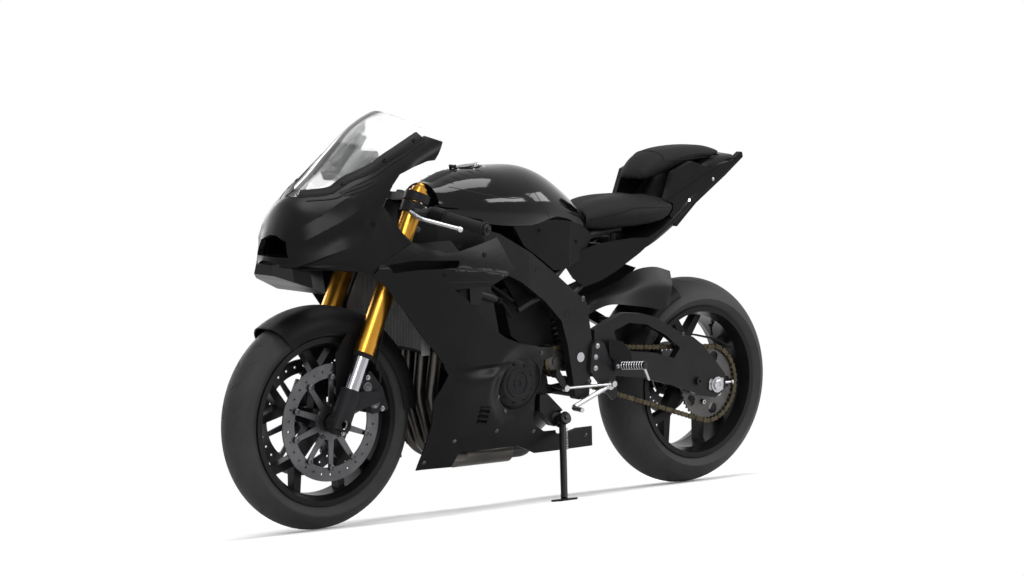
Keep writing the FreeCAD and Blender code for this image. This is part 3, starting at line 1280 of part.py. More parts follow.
def upper_fairing():
    skin = nose_skin(s.panel_wall)
    reach = across(0.25)
    cowl = skin.common(plate(side(COWL_OUTLINE_SHARES), -reach, reach))
    mouth = loft([Part.makePolygon([spot(1.6, y_share * 0.55, z_share * 0.97 + 0.024) for y_share, z_share in MOUTH_SHARES]),
                  Part.makePolygon([spot(1.42, y_share, z_share) for y_share, z_share in MOUTH_SHARES])], True)
    cowl = cowl.cut(mouth)
    keep("upper_cowl", max(cowl.Solids, key=lambda solid: solid.Volume))
    chin = loft([Part.makePolygon([spot(x_share, y_share * wide, z_share) for y_share, wide, z_share in (
        (-1, half, low), (1, half, low), (1, half * 0.8, high), (-1, half * 0.8, high), (-1, half, low))])
        for x_share, half, low, high in CHIN_SHARES], True)
    chin = chin.cut(skin)
    keep("chin_panel", max(chin.Solids, key=lambda solid: solid.Volume))
    glass = nose_skin(s.screen_wall)
    keep("screen", glass.common(plate(side(SCREEN_OUTLINE_SHARES), -reach, reach)))
    plate_shape = plate(side([(1.32, 0.97), (1.23, 1.03), (1.225, 1.01), (1.305, 0.94)]), -across(0.07), across(0.07),
                        s.rim_wall)
    arm = rod(spot(1.15, 0, 0.845), spot(1.225, 0, 0.855), along(0.012))
    arm = arm.cut(plate(side(FRAME_OUTLINE_SHARES), -across(0.05), across(0.05)))
    arm.translate(AHEAD * s.air_gap)
    beam = stay_to(skin, spot(1.4, 0, 0.8), spot(1.4, 0.2, 0.8), along(0.009))
    post = rod(spot(1.225, 0, 0.855), spot(1.275, 0, 0.99), along(0.009)).cut(plate_shape)
    post = min(post.Solids, key=lambda solid: solid.CenterOfMass.z)
    stay = fused([max(arm.Solids, key=lambda solid: solid.CenterOfMass.x), post, beam, mirror(beam),
                  rod(spot(1.225, 0, 0.855), spot(1.4, 0, 0.8), along(0.009))])
    keep("instrument_panel", plate_shape)
    keep("cowl_stay", stay)


SIDE_STATION_SHARES = (1.36, 1.2, 1.1, 1.0, 0.85, 0.68, 0.44)
SIDE_HEIGHT_SHARES = (0.145, 0.3, 0.447, 0.6, 0.72, 0.81)
SIDE_ACROSS_SHARES = [
    (0.1, 0.13, 0.155, 0.172, 0.178, 0.17),
    (0.085, 0.135, 0.175, 0.197, 0.2, 0.185),
    (0.07, 0.125, 0.19, 0.212, 0.21, 0.188),
    (0.085, 0.15, 0.203, 0.218, 0.21, 0.182),
    (0.11, 0.165, 0.205, 0.214, 0.198, 0.168),
    (0.12, 0.16, 0.195, 0.2, 0.185, 0.15),
    (0.1, 0.135, 0.15, 0.15, 0.14, 0.13)]
SIDE_OUTLINE_SHARES = [
    (1.33, 0.7), (1.3, 0.735), (1.205, 0.783), (1.1, 0.755), (1.05, 0.757), (0.96, 0.775), (0.9, 0.79), (0.85, 0.7),
    (0.95, 0.66), (1.08, 0.655), (1.04, 0.63), (1.0, 0.59), (0.95, 0.545), (0.9, 0.515), (0.85, 0.497), (0.75, 0.478),
    (0.7, 0.475), (0.7, 0.447), (0.735, 0.44), (0.745, 0.3), (0.87, 0.265), (1.0, 0.235), (0.985, 0.187),
    (0.995, 0.15), (1.106, 0.148), (1.095, 0.21), (1.085, 0.28), (1.092, 0.35), (1.08, 0.395), (1.071, 0.42),
    (1.085, 0.44), (1.12, 0.48), (1.18, 0.54), (1.23, 0.6), (1.29, 0.67)]
BELLY_OUTLINE_SHARES = [
    (0.9997, 0.2345), (0.87, 0.2645), (0.7447, 0.2995), (0.72, 0.25), (0.68, 0.228), (0.48, 0.225), (0.46, 0.164),
    (0.7, 0.165), (0.77, 0.193), (0.9, 0.19), (0.98, 0.187)]


def side_skin(wall):
    grid = [[spot(station, y_share, z_share) for y_share, z_share in zip(shares, SIDE_HEIGHT_SHARES)]
            for station, shares in zip(SIDE_STATION_SHARES, SIDE_ACROSS_SHARES)]
    return skin(grid, wall)


SLOT_OUTLINE_SHARES = [(1.285, 0.728), (1.2, 0.738), (1.05, 0.733), (1.06, 0.714), (1.2, 0.712), (1.27, 0.706)]
VENT_OUTLINE_SHARES = [(0.955, 0.318), (0.922, 0.312), (0.922, 0.306), (0.955, 0.312)]
VENT_STEP_SHARES = (0, -0.015, -0.03)


def turned(shape, pivot, axis, angle):
    copy = shape.copy()
    copy.rotate(pivot, axis, angle)
    return copy


def side_fairing():
    skin = side_skin(s.panel_wall)
    panel = skin.common(plate(side(SIDE_OUTLINE_SHARES), 0, across(0.25)))
    panel = max(panel.Solids, key=lambda solid: solid.Volume)
    panel = panel.cut(plate(side(SLOT_OUTLINE_SHARES), 0, across(0.25), s.panel_wall))
    for step_share in VENT_STEP_SHARES:
        vent = plate(side(VENT_OUTLINE_SHARES), 0, across(0.25))
        vent.translate(UP * up(step_share))
        panel = panel.cut(vent)
    left = panel.cut(rod(spot(0.815, 0, 0.378), spot(0.815, 0.25, 0.378), along(0.075)))
    keep("side_cowl_left", max(left.Solids, key=lambda solid: solid.Volume))
    right = panel.cut(rod(spot(0.78, 0, 0.36), spot(0.78, 0.25, 0.36), along(0.069)))
    keep("side_cowl_right", mirror(max(right.Solids, key=lambda solid: solid.Volume)))
    belly = skin.common(plate(side(BELLY_OUTLINE_SHARES), 0, across(0.25)))
    foot, pivot = stand_foot(), stand_pivot()
    left = belly
    for angle in range(0, stand_swing() + 1, 10):
        leg = rod(pivot, foot, s.stand_radius + s.running_gap * 2)
        left = left.cut(turned(leg, pivot, stand_axis(), angle))
    start, end = silencer_line()
    way = unit(end - start)
    right = mirror(belly).cut(rod(start - way * s.silencer_radius * 2, end, s.silencer_radius + s.running_gap * 2))
    sides = [max(panel.Solids, key=lambda solid: solid.Volume) for panel in (left, right)]
    keep("belly_panels", Part.makeCompound(sides))


def controls():
    """Footrests on plates, with the gear lever on the left and the brake pedal on the right."""
    hanger = plate(side([(0.5, 0.48), (0.515, 0.46), (0.52, 0.39), (0.43, 0.3), (0.41, 0.31), (0.43, 0.4), (0.47, 0.47)]),
                   across(0.148) + s.air_gap, across(0.158), s.rim_wall)
    peg = rod(spot(0.42, 0.158, 0.4), spot(0.4, 0.262, 0.41), along(0.011))
    arm = plate(side([(0.435, 0.415), (0.435, 0.385), (0.405, 0.385), (0.405, 0.415)]), across(0.157), across(0.17),
                s.rim_wall)
    keep("footrests", both(fused([hanger, arm, peg])))
    root = spot(0.45, 0.158, 0.345) + LEFT * s.air_gap
    lever = fused([rod(root, spot(0.45, 0.171, 0.345), along(0.012)),
                   pipe([spot(0.45, 0.165, 0.345), spot(0.6, 0.172, 0.292), spot(0.6, 0.215, 0.29)], along(0.007),
                        along(0.012))])
    keep("gear_lever", lever)
    keep("brake_pedal", mirror(lever))


# Side stand

def stand_pivot():
    return spot(0.605, 0.135, 0.255)


def lean():
    return math.radians(s.lean_angle)


def stand_foot():
    """The point under the foot, on the ground of the leaning machine."""
    aside = across(0.245)
    ahead = along(0.69)
    behind = ride_height(s.rear_tyre_radius, s.rear_tyre_half_width, s.rear_tyre_drop)
    before = ride_height(s.front_tyre_radius, s.front_tyre_half_width, s.front_tyre_drop)
    raised = behind + (before - behind) * ahead / s.wheelbase
    return Vector(ahead, aside, (aside * math.sin(lean()) - raised) / math.cos(lean()))


def stand_axis():
    """The hinge turns the leg from the ground to level with the belly."""
    return Vector(0, 0.9, 0.435).normalize()


def stand_swing():
    """How far the leg turns, in degrees, from the ground to its stowed place."""
    return 110


def side_stand():
    pivot, foot = stand_pivot(), stand_foot()
    axis = stand_axis()
    ground_up = Vector(0, -math.sin(lean()), math.cos(lean()))
    half = s.stand_pin_length / 2
    eye = rod(pivot - axis * s.stand_radius * 0.6, pivot + axis * s.stand_radius * 0.6, s.stand_radius * 1.8)
    sole = Part.makeBox(s.stand_radius * 6, s.stand_radius * 4.4, s.stand_foot_wall)
    sole.translate(Vector(-s.stand_radius * 3, -s.stand_radius * 2.2, 0))
    sole.rotate(HERE, AHEAD, s.lean_angle)
    sole.translate(foot)
    leg = rod(pivot + (foot - pivot) * 0.03, foot + ground_up * s.stand_foot_wall, s.stand_radius)
    room = Part.makeBox(s.wheelbase, s.wheelbase, s.wheelbase)
    room.translate(Vector(-s.wheelbase / 2, -s.wheelbase / 2, -s.wheelbase))
    room.rotate(HERE, AHEAD, s.lean_angle)
    room.translate(foot + ground_up * s.air_gap)
    body = fused([eye, leg.cut(room), sole])
    body = body.cut(rod(pivot - axis * half, pivot + axis * half, s.stand_pin_radius + s.air_gap))
    keep("side_stand", body)
    reach = s.stand_radius * 1.3
    cheeks = fused([rod(pivot + axis * reach, pivot + axis * (reach + s.rim_wall), s.stand_radius * 1.8),
                    rod(pivot - axis * (reach + s.rim_wall), pivot - axis * reach, s.stand_radius * 1.8),
                    rod(pivot - axis * half, pivot + axis * half, s.stand_pin_radius)])
    seat = s.chain_offset - s.chain_half_width - s.rim_wall / 2 + s.air_gap
    arm = plate(side([(0.588, 0.235), (0.625, 0.235), (0.68, 0.285), (0.68, 0.33), (0.65, 0.33), (0.592, 0.28)]),
                seat, pivot.y - reach, s.rim_wall)
    cheeks = fused([cheeks, arm]).cut(rod(pivot - axis * (reach - s.air_gap), pivot + axis * reach, s.stand_radius * 3))
    cheeks = fused([cheeks, rod(pivot - axis * half, pivot + axis * half, s.stand_pin_radius)])
    keep("stand_bracket", cheeks)


# Assembly

def ride_height(radius, half, drop):
    """The height of a leaning wheel's axle over the ground, less its height in the lean alone."""
    crown = (half ** 2 + drop ** 2) / (2 * drop)
    return (radius - crown) * math.cos(lean()) + crown - radius * math.cos(lean())


def parked():
    """Leans the upright machine onto its stand, with both tyres and the foot on the ground."""
    ahead = ride_height(s.front_tyre_radius, s.front_tyre_half_width, s.front_tyre_drop)
    behind = ride_height(s.rear_tyre_radius, s.rear_tyre_half_width, s.rear_tyre_drop)
    pitch = math.degrees(math.atan2(behind - ahead, s.wheelbase))
    leaned = Placement(HERE, Rotation(AHEAD, -s.lean_angle))
    levelled = Placement(UP * behind, Rotation(LEFT, pitch))
    return levelled.multiply(leaned)


def build():
    wheel_set()
    drive_wheel()
    fork()
    clamps()
    handlebars()
    caliper()
    front_fender()
    main_frame()
    engine()
    radiator()
    exhaust()
    swingarm()
    rear_brake()
    brake_lines()
    suspension()
    hugger()
    chain()
    tank()
    tank_covers()
    seats()
    subframe()
    upper_fairing()
    side_fairing()
    controls()
    side_stand()
    doc.recompute()


def origin_shift():
    """Moves the origin to the middle of the box that holds the parked machine, at ground level."""
    boxes = []
    for item in nodes.values():
        shape = item.Shape.copy()
        shape.Placement = parked().multiply(shape.Placement)
        boxes.append(shape.optimalBoundingBox(False))
    low = Vector(min(b.XMin for b in boxes), min(b.YMin for b in boxes), 0)
    high = Vector(max(b.XMax for b in boxes), max(b.YMax for b in boxes), 0)
    return (low + high) * -0.5


def park():
    place = parked()
    place.move(origin_shift())
    for item in nodes.values():
        item.Placement = place.multiply(item.Placement)
    doc.recompute()
    return place


def check():
    for item in doc.Objects:
        if "Invalid" in item.State or "Error" in item.State:
            raise RuntimeError("%s did not recompute: %s" % (item.Label, item.State))
    for name, item in nodes.items():
        if item.Shape.isNull() or not item.Shape.isValid() or not item.Shape.Solids:
            raise RuntimeError("%s has no valid solid" % name)


def export():
    os.makedirs("parts", exist_ok=True)
    for name, item in nodes.items():
        item.Shape.exportStep(os.path.join("parts", name + ".step"))


build()
place = park()
check()
export()
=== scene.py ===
import json
import math

import bmesh
import bpy
from mathutils import Matrix, Vector
from mathutils.bvhtree import BVHTree


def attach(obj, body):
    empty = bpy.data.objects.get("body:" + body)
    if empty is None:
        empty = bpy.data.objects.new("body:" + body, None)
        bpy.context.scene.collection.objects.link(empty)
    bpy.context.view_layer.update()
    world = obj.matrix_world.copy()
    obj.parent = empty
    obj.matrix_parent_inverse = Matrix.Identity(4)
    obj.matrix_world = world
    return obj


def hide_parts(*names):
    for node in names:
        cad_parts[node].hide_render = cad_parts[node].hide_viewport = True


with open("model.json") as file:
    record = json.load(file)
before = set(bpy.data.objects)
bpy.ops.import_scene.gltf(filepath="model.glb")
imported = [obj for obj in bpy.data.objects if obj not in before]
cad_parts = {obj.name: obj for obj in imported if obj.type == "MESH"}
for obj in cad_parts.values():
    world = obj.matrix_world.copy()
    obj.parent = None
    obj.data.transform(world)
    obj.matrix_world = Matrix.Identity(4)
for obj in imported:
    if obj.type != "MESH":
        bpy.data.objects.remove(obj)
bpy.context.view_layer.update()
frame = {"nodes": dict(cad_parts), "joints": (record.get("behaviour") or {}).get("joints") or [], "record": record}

# The machine's own upright frame, in metres: X forward, Y left, Z up, rear axle over X = 0.
HERE = Vector((0.0, 0.0, 0.0))
AHEAD = Vector((1.0, 0.0, 0.0))
LEFT = Vector((0.0, 1.0, 0.0))
UP = Vector((0.0, 0.0, 1.0))
REAR_AXLE = Vector((0.0, 0.0, 0.315))
FRONT_AXLE = Vector((1.375, 0.0, 0.300))
SIDES = (("left", 1), ("right", -1))


def basis(ahead, left):
    ahead = ahead.normalized()
    left = (left - ahead * left.dot(ahead)).normalized()
    return Matrix((ahead, left, ahead.cross(left))).transposed()


def park_matrix():
    """Turns the upright frame into the leaning machine's place."""
    joints = {joint["name"]: joint for joint in frame["joints"]}
    rear = Vector(joints["rear_spin"]["pos_m"])
    front = Vector(joints["front_spin"]["pos_m"])
    left = Vector(joints["rear_spin"]["axis"])
    turn = basis(front - rear, left) @ basis(FRONT_AXLE - REAR_AXLE, LEFT).inverted()
    return Matrix.Translation(rear - turn @ REAR_AXLE) @ turn.to_4x4()


PARK = park_matrix()
UPRIGHT = PARK.inverted()


# Materials

def shading(data):
    """The nodes and links of a new material or world."""
    data.use_nodes = True
    return data.node_tree.nodes, data.node_tree.links


def put(nodes, kind, inputs=None, operation=None):
    """A new shader node, with some of its inputs set."""
    node = nodes.new("ShaderNode" + kind)
    for name, value in (inputs or {}).items():
        node.inputs[name].default_value = value
    if operation:
        node.operation = operation
    return node


def ramp(nodes, links, factor, low, high):
    """A blend between two (position, colour) stops."""
    node = nodes.new("ShaderNodeValToRGB")
    for element, (position, colour) in zip(node.color_ramp.elements, (low, high)):
        element.position = position
        element.color = (*colour, 1)
    links.new(factor, node.inputs["Fac"])
    return node.outputs["Color"]


def material(name, base, rough, metal=0.0, spread=0.25, grain=900.0, bump=0.02, patch=14.0,
             rough_spread=0.08, coat=0.0, specular=0.5):
    """A surface whose colour and roughness vary a little, with a fine grain; bump is in millimetres."""
    mat = bpy.data.materials.new(name)
    nodes, links = shading(mat)
    shader = nodes["Principled BSDF"]
    for socket, value in (("Metallic", metal), ("Coat Weight", coat), ("Specular IOR Level", specular),
                          ("Coat Roughness", 0.06)):
        shader.inputs[socket].default_value = value
    place = nodes.new("ShaderNodeTexCoord").outputs["Object"]
    patches = put(nodes, "TexNoise", {"Scale": patch, "Detail": 5.0})
    fine = put(nodes, "TexNoise", {"Scale": grain, "Detail": 3.0})
    links.new(place, patches.inputs["Vector"])
    links.new(place, fine.inputs["Vector"])
    low = [max(channel * (1 - spread), 0.0) for channel in base]
    high = [min(channel * (1 + spread), 1.0) for channel in base]
    colour = ramp(nodes, links, patches.outputs["Fac"], (0.3, low), (0.75, high))
    links.new(colour, shader.inputs["Base Color"])
    span = put(nodes, "MapRange", {"To Min": max(rough - rough_spread, 0.02),
                                   "To Max": min(rough + rough_spread, 1.0)})
    links.new(patches.outputs["Fac"], span.inputs["Value"])
    links.new(span.outputs["Result"], shader.inputs["Roughness"])
    relief = put(nodes, "Bump", {"Strength": 1.0, "Distance": bump * 0.001})
    links.new(fine.outputs["Fac"], relief.inputs["Height"])
    links.new(relief.outputs["Normal"], shader.inputs["Normal"])
    return mat


def glass(name):
    """Clear from the front, and dark and solid where the sheet is seen edge on: a painted dark band that stands in
    for the dark refraction along the screen's rim.
    """
    mat = bpy.data.materials.new(name)
    nodes, links = shading(mat)
    shader = nodes["Principled BSDF"]
    shader.inputs["Transmission Weight"].default_value = 0.9
    shader.inputs["IOR"].default_value = 1.25
    facing = put(nodes, "LayerWeight", {"Blend": 0.5}).outputs["Facing"]
    # The sheet turns nearly solid where it is seen edge on, so that the painted dark band shows.
    cover = put(nodes, "MapRange", {"From Min": 0.50, "From Max": 0.64, "To Min": 0.22, "To Max": 0.97})
    links.new(facing, cover.inputs["Value"])
    links.new(cover.outputs["Result"], shader.inputs["Alpha"])
    # Painted shade: the colour goes from clear to near black where the sheet is seen edge on, for the dark
    # refraction along the rim.
    painted_edge_shade = ramp(nodes, links, facing, (0.50, (0.93, 0.95, 0.96)), (0.60, (0.02, 0.02, 0.022)))
    links.new(painted_edge_shade, shader.inputs["Base Color"])
    dust = put(nodes, "TexNoise", {"Scale": 30.0})
    span = put(nodes, "MapRange", {"To Min": 0.02, "To Max": 0.07})
    links.new(dust.outputs["Fac"], span.inputs["Value"])
    links.new(span.outputs["Result"], shader.inputs["Roughness"])
    return mat


SURFACES = {
    "tyre_rubber": ((0.016, 0.016, 0.017), 0.62, dict(grain=1400, bump=0.08, specular=0.22)),
    "black_wheel": ((0.005, 0.005, 0.0055), 0.30, dict(specular=0.12)),
    "disc_steel": ((0.085, 0.085, 0.09), 0.40, dict(metal=1.0, grain=500, bump=0.01)),
    "sprocket_steel": ((0.075, 0.072, 0.07), 0.42, dict(metal=1.0, bump=0.01)),
    "gold_anodised": ((0.44, 0.215, 0.030), 0.30, dict(metal=1.0, spread=0.08, bump=0.008)),
    "polished_tube": ((0.34, 0.34, 0.36), 0.14, dict(metal=1.0, spread=0.05, bump=0.002, rough_spread=0.04)),
    "dark_casting": ((0.008, 0.008, 0.009), 0.50, dict(grain=600, bump=0.12, specular=0.1)),
    "silver_lever": ((0.40, 0.40, 0.41), 0.30, dict(metal=1.0, spread=0.08, bump=0.01)),
    "black_rubber": ((0.006, 0.006, 0.006), 0.75, dict(grain=1200, bump=0.1, specular=0.15)),
    "black_plastic": ((0.004, 0.004, 0.0045), 0.48, dict(grain=1500, bump=0.05, specular=0.07)),
    "reservoir": ((0.45, 0.26, 0.06), 0.25, dict(spread=0.15, bump=0.01)),
    "black_frame": ((0.0045, 0.0045, 0.005), 0.38, dict(bump=0.03, specular=0.16)),
    "footrest_alloy": ((0.012, 0.012, 0.013), 0.42, dict(metal=0.3, bump=0.03, specular=0.12)),
    "radiator_core": ((0.10, 0.10, 0.102), 0.5, dict(metal=0.6, bump=0.05)),
    "header_steel": ((0.07, 0.065, 0.06), 0.34, dict(metal=1.0, spread=0.35, patch=9)),
    "silencer_steel": ((0.03, 0.03, 0.032), 0.42, dict(metal=0.9)),
    "shock_metal": ((0.04, 0.04, 0.042), 0.4, dict(metal=0.8)),
    "chain_brass": ((0.060, 0.050, 0.032), 0.42, dict(metal=1.0, spread=0.4, patch=60, bump=0.03)),
    "gloss_paint": ((0.0016, 0.0016, 0.002), 0.09, dict(coat=0.06, spread=0.1, bump=0.003, rough_spread=0.03,
                                                       specular=0.16)),
    "seat_cover": ((0.006, 0.006, 0.006), 0.66, dict(grain=700, bump=0.25, specular=0.09)),
    "satin_panel": ((0.0036, 0.0037, 0.0042), 0.34, dict(spread=0.12, grain=1800, bump=0.008,
                                                        rough_spread=0.03, specular=0.09)),
}
LOOKS = {name: material(name, base, rough, **more) for name, (base, rough, more) in SURFACES.items()}
LOOKS["clear_screen"] = glass("clear_screen")


def dress_frame():
    """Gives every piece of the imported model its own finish."""
    slots = {part["node"]: part["material_slot"] for part in frame["record"]["subparts"]}
    for name, item in frame["nodes"].items():
        look = LOOKS[slots[name]]
        if not item.data.materials:
            item.data.materials.append(look)
        for index in range(len(item.data.materials)):
            item.data.materials[index] = look
        item.data.shade_smooth()


dress_frame()


# Building pieces in the upright frame

def facing(angle):
    """A direction in the machine's middle plane: 0 is ahead, a quarter turn is up."""
    return Vector((math.cos(angle), 0, math.sin(angle)))


def spots(centre, radius, turns):
    """Places (x, z) round a centre, at shares of a full turn."""
    return [(centre.x + math.cos(math.tau * turn) * radius, centre.z + math.sin(math.tau * turn) * radius)
            for turn in turns]


def across(way):
    """Two directions at right angles to a direction and to each other."""
    way = way.normalized()
    other = UP if abs(way.z) < 0.9 else AHEAD
    first = way.cross(other).normalized()
    return first, way.cross(first)


def circle(at, first, second, radius, sides):
    """Points round a circle, from its first direction towards its second."""
    angles = [math.tau * step / sides for step in range(sides)]
    return [at + (first * math.cos(angle) + second * math.sin(angle)) * radius for angle in angles]


def band(mesh, low, high):
    """The faces between two closed rings of equal length."""
    for step in range(len(low)):
        after = (step + 1) % len(low)
        mesh.faces.new((low[step], low[after], high[after], high[step]))


def loft(mesh, rings, front=True):
    """A skin over rings of points of equal length, closed at its end and, if asked, at its front."""
    rings = [[mesh.verts.new(point) for point in ring] for ring in rings]
    for low, high in zip(rings, rings[1:]):
        band(mesh, low, high)
    if front:
        mesh.faces.new(rings[0][::-1])
    mesh.faces.new(rings[-1])


def lathe(mesh, at, way, profile, sides=20):
    """A turned form: profile gives (radius, height) pairs along the direction."""
    way = way.normalized()
    rings = []
    for radius, height in profile:
        centre = at + way * height
        points = circle(centre, *across(way), radius, sides) if radius > 1e-6 else [centre]
        rings.append([mesh.verts.new(point) for point in points])
    for low, high in zip(rings, rings[1:]):
        if len(low) == len(high):
            band(mesh, low, high)
            continue
        tip, ring = (low[0], high) if len(low) == 1 else (high[0], low)
        for step in range(sides):
            mesh.faces.new((tip, ring[(step + 1) % sides], ring[step]))


def rod(mesh, start, end, radius, sides, tip=None):
    """A straight bar, to a tip of another radius if asked."""
    start, end = Vector(start), Vector(end)
    length = (end - start).length
    lathe(mesh, start, end - start, [(0, 0), (radius, 0), (tip or radius, length), (0, length)], sides)


def bolt(mesh, at, way, radius, height):
    """A button head with a hexagon socket and its washer."""
    shape = ((0, -0.4), (1.35, -0.4), (1.35, 0.12), (1, 0.12), (1, 0.6), (0.78, 1), (0.5, 1), (0.42, 0.35),
             (0, 0.35))
    lathe(mesh, at, way, [(radius * out, height * rise) for out, rise in shape], 12)


def nut(mesh, at, way, radius, height):
    """A hexagon nut on its washer."""
    lathe(mesh, at, way, [(0, 0), (radius * 1.25, 0), (radius * 1.25, height * 0.15)], 24)
    shape = ((1.1, 0), (1.1, 0.75), (0.95, 1), (0.55, 1), (0.5, 0.6), (0, 0.6))
    lathe(mesh, at + way.normalized() * height * 0.15, way,
          [(radius * out, height * rise) for out, rise in shape], 6)


def smooth_line(points, count):
    """Evenly numbered points of a smooth line through some points."""
    points = [Vector(point) for point in points]
    ends = [points[0] * 2 - points[1]] + points + [points[-1] * 2 - points[-2]]
    spans = len(points) - 1
    line = []
    for number in range(count):
        place = spans * number / (count - 1)
        span = min(int(place), spans - 1)
        share = place - span
        a, b, c, d = ends[span:span + 4]
        line.append(0.5 * ((2 * b) + (c - a) * share + (2 * a - 5 * b + 4 * c - d) * share ** 2
                           + (3 * b - a - 3 * c + d) * share ** 3))
    return line


def side_line(points, y, count):
    """A smooth line through (x, z) points at one distance from the middle plane."""
    return smooth_line([(x, y, z) for x, z in points], count)


def to_side(points, sign):
    """Points of the left side, or their mirror images."""
    return [(x, y * sign, z) for x, y, z in points]


def evenly(low, high, steps):
    return [low + (high - low) * step / steps for step in range(steps + 1)]


def tube(mesh, points, radius, sides, count, taper=None):
    """A round tube along a smooth line; taper scales its radius along the way."""
    line = smooth_line(points, count)
    before = None
    rings = []
    for number, point in enumerate(line):
        way = (line[min(number + 1, len(line) - 1)] - line[max(number - 1, 0)]).normalized()
        if before is None:
            first, second = across(way)
        else:
            first = (before - way * before.dot(way)).normalized()
            second = way.cross(first)
        before = first
        size = radius * taper(number / (len(line) - 1)) if taper else radius
        rings.append(circle(point, first, second, size, sides))
    loft(mesh, rings)


def torus(mesh, at, way, radius, small, sides=32, small_sides=8):
    """A round ring about a direction."""
    way = way.normalized()
    rings = []
    for out in circle(HERE, *across(way), 1.0, sides):
        points = circle(at + out * radius, out, way, small, small_sides)
        rings.append([mesh.verts.new(point) for point in points])
    for low, high in zip(rings, rings[1:] + rings[:1]):
        for step in range(small_sides):
            after = (step + 1) % small_sides
            mesh.faces.new((low[step], high[step], high[after], low[after]))


def coil(mesh, start, way, first, radius, length, turns, steps, wire, sides):
    """A spring's wire round an axis."""
    second = way.cross(first)
    line = []
    for step in range(turns * steps + 1):
        angle = math.tau * step / steps
        line.append(start + way * (length * step / (turns * steps))
                    + (first * math.cos(angle) + second * math.sin(angle)) * radius)
    tube(mesh, line, wire, sides, len(line))


def prism(mesh, outline, y, other):
    """An outline on the middle plane, as (x, z) pairs, between two distances from that plane."""
    loft(mesh, [[Vector((x, at, z)) for x, z in outline] for at in sorted((y, other))])


def shell(mesh, grid, thick):
    """A closed thin wall on a grid of points, rows of equal length."""
    rows, last = len(grid) - 1, len(grid[0]) - 1
    walls = []
    for row, points in enumerate(grid):
        front, back = [], []
        for column, point in enumerate(points):
            along = points[min(column + 1, last)] - points[max(column - 1, 0)]
            over = grid[min(row + 1, rows)][column] - grid[max(row - 1, 0)][column]
            normal = along.cross(over).normalized()
            if normal.y * point.y < 0:
                normal = -normal
            front.append(mesh.verts.new(point))
            back.append(mesh.verts.new(point - normal * thick))
        walls.append((front, back))
    for (low, back_low), (high, back_high) in zip(walls, walls[1:]):
        for step in range(last):
            mesh.faces.new((low[step], low[step + 1], high[step + 1], high[step]))
            mesh.faces.new((back_low[step], back_high[step], back_high[step + 1], back_low[step + 1]))
        for step in (0, last):
            mesh.faces.new((low[step], high[step], back_high[step], back_low[step]))
    for front, back in (walls[0], walls[-1]):
        for step in range(last):
            mesh.faces.new((front[step], front[step + 1], back[step + 1], back[step]))


def sheet(mesh, grid):
    """An open skin over rows of points, for a thin panel laid on a surface."""
    rows = [[mesh.verts.new(point) for point in row] for row in grid]
    for low, high in zip(rows, rows[1:]):
        for step in range(len(low) - 1):
            mesh.faces.new((low[step], low[step + 1], high[step + 1], high[step]))


MADE = {}


class Piece:
    """A mesh made in the upright frame that becomes one named object on a body."""

    def __init__(self, name, look, body="chassis", slot=None, sharp=35):
        self.name, self.look, self.body, self.sharp = name, look, body, sharp
        self.slot = slot or look
        self.mesh = bmesh.new()

    def __enter__(self):
        return self.mesh

    def __exit__(self, kind, value, trace):
        if kind:
            return False
        bmesh.ops.recalc_face_normals(self.mesh, faces=self.mesh.faces)
        self.mesh.transform(PARK)
        data = bpy.data.meshes.new(self.name)
        self.mesh.to_mesh(data)
        self.mesh.free()
        item = bpy.data.objects.new(self.name, data)
        bpy.context.scene.collection.objects.link(item)
        data.materials.append(LOOKS[self.look])
        data.shade_smooth()
        data.set_sharp_from_angle(angle=math.radians(self.sharp))
        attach(item, self.body)
        MADE[self.name] = item
        return False


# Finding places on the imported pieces

TREES = {}
SHAPED = {}
FAR, STRIP_SINK = 0.5, 0.0006


def tree(names):
    """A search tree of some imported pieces, in the upright frame."""
    if names not in TREES:
        verts, faces = [], []
        for name in names:
            data = SHAPED.get(name, frame["nodes"][name]).data
            start = len(verts)
            verts += [UPRIGHT @ vert.co for vert in data.vertices]
            faces += [[start + index for index in face.vertices] for face in data.polygons]
        TREES[names] = BVHTree.FromPolygons(verts, faces)
    return TREES[names]


def hit(names, origin, way):
    """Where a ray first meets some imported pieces, and the surface's direction there."""
    place, normal, _, _ = tree(names).ray_cast(Vector(origin), Vector(way).normalized())
    if place is None:
        return None, None
    return place, -normal if normal.dot(Vector(way)) > 0 else normal


def on_side(names, x, z, sign=1):
    return hit(names, (x, sign * FAR, z), LEFT * -sign)


def drape(names, origins, way, lift=0.0):
    """The places where rays meet a surface, lifted off it."""
    found = [hit(names, origin, way) for origin in origins]
    return [place + normal * lift for place, normal in found if place is not None]


def seat(mesh, names, places, sign, make, *size, flat=True):
    """Turned parts at (x, z) places on a surface, square to the middle plane or to the surface."""
    for x, z in places:
        place, normal = on_side(names, x, z, sign)
        if place is not None:
            make(mesh, place, LEFT * sign if flat else normal, *size)


def strip(mesh, names, points, width, thick, count, sign):
    """A raised band that follows a line over a surface, seen from the side."""
    found = [on_side(names, point.x, point.z, sign) for point in side_line(points, 0, count)]
    found = [pair for pair in found if pair[0] is not None]
    rings = []
    for number, (place, normal) in enumerate(found):
        way = (found[min(number + 1, len(found) - 1)][0] - found[max(number - 1, 0)][0]).normalized()
        side = normal.cross(way).normalized() * width / 2
        foot, top = -normal * STRIP_SINK, normal * thick
        rings.append([place + side + foot, place + side * 0.8 + top,
                      place - side * 0.8 + top, place - side + foot])
    loft(mesh, rings)


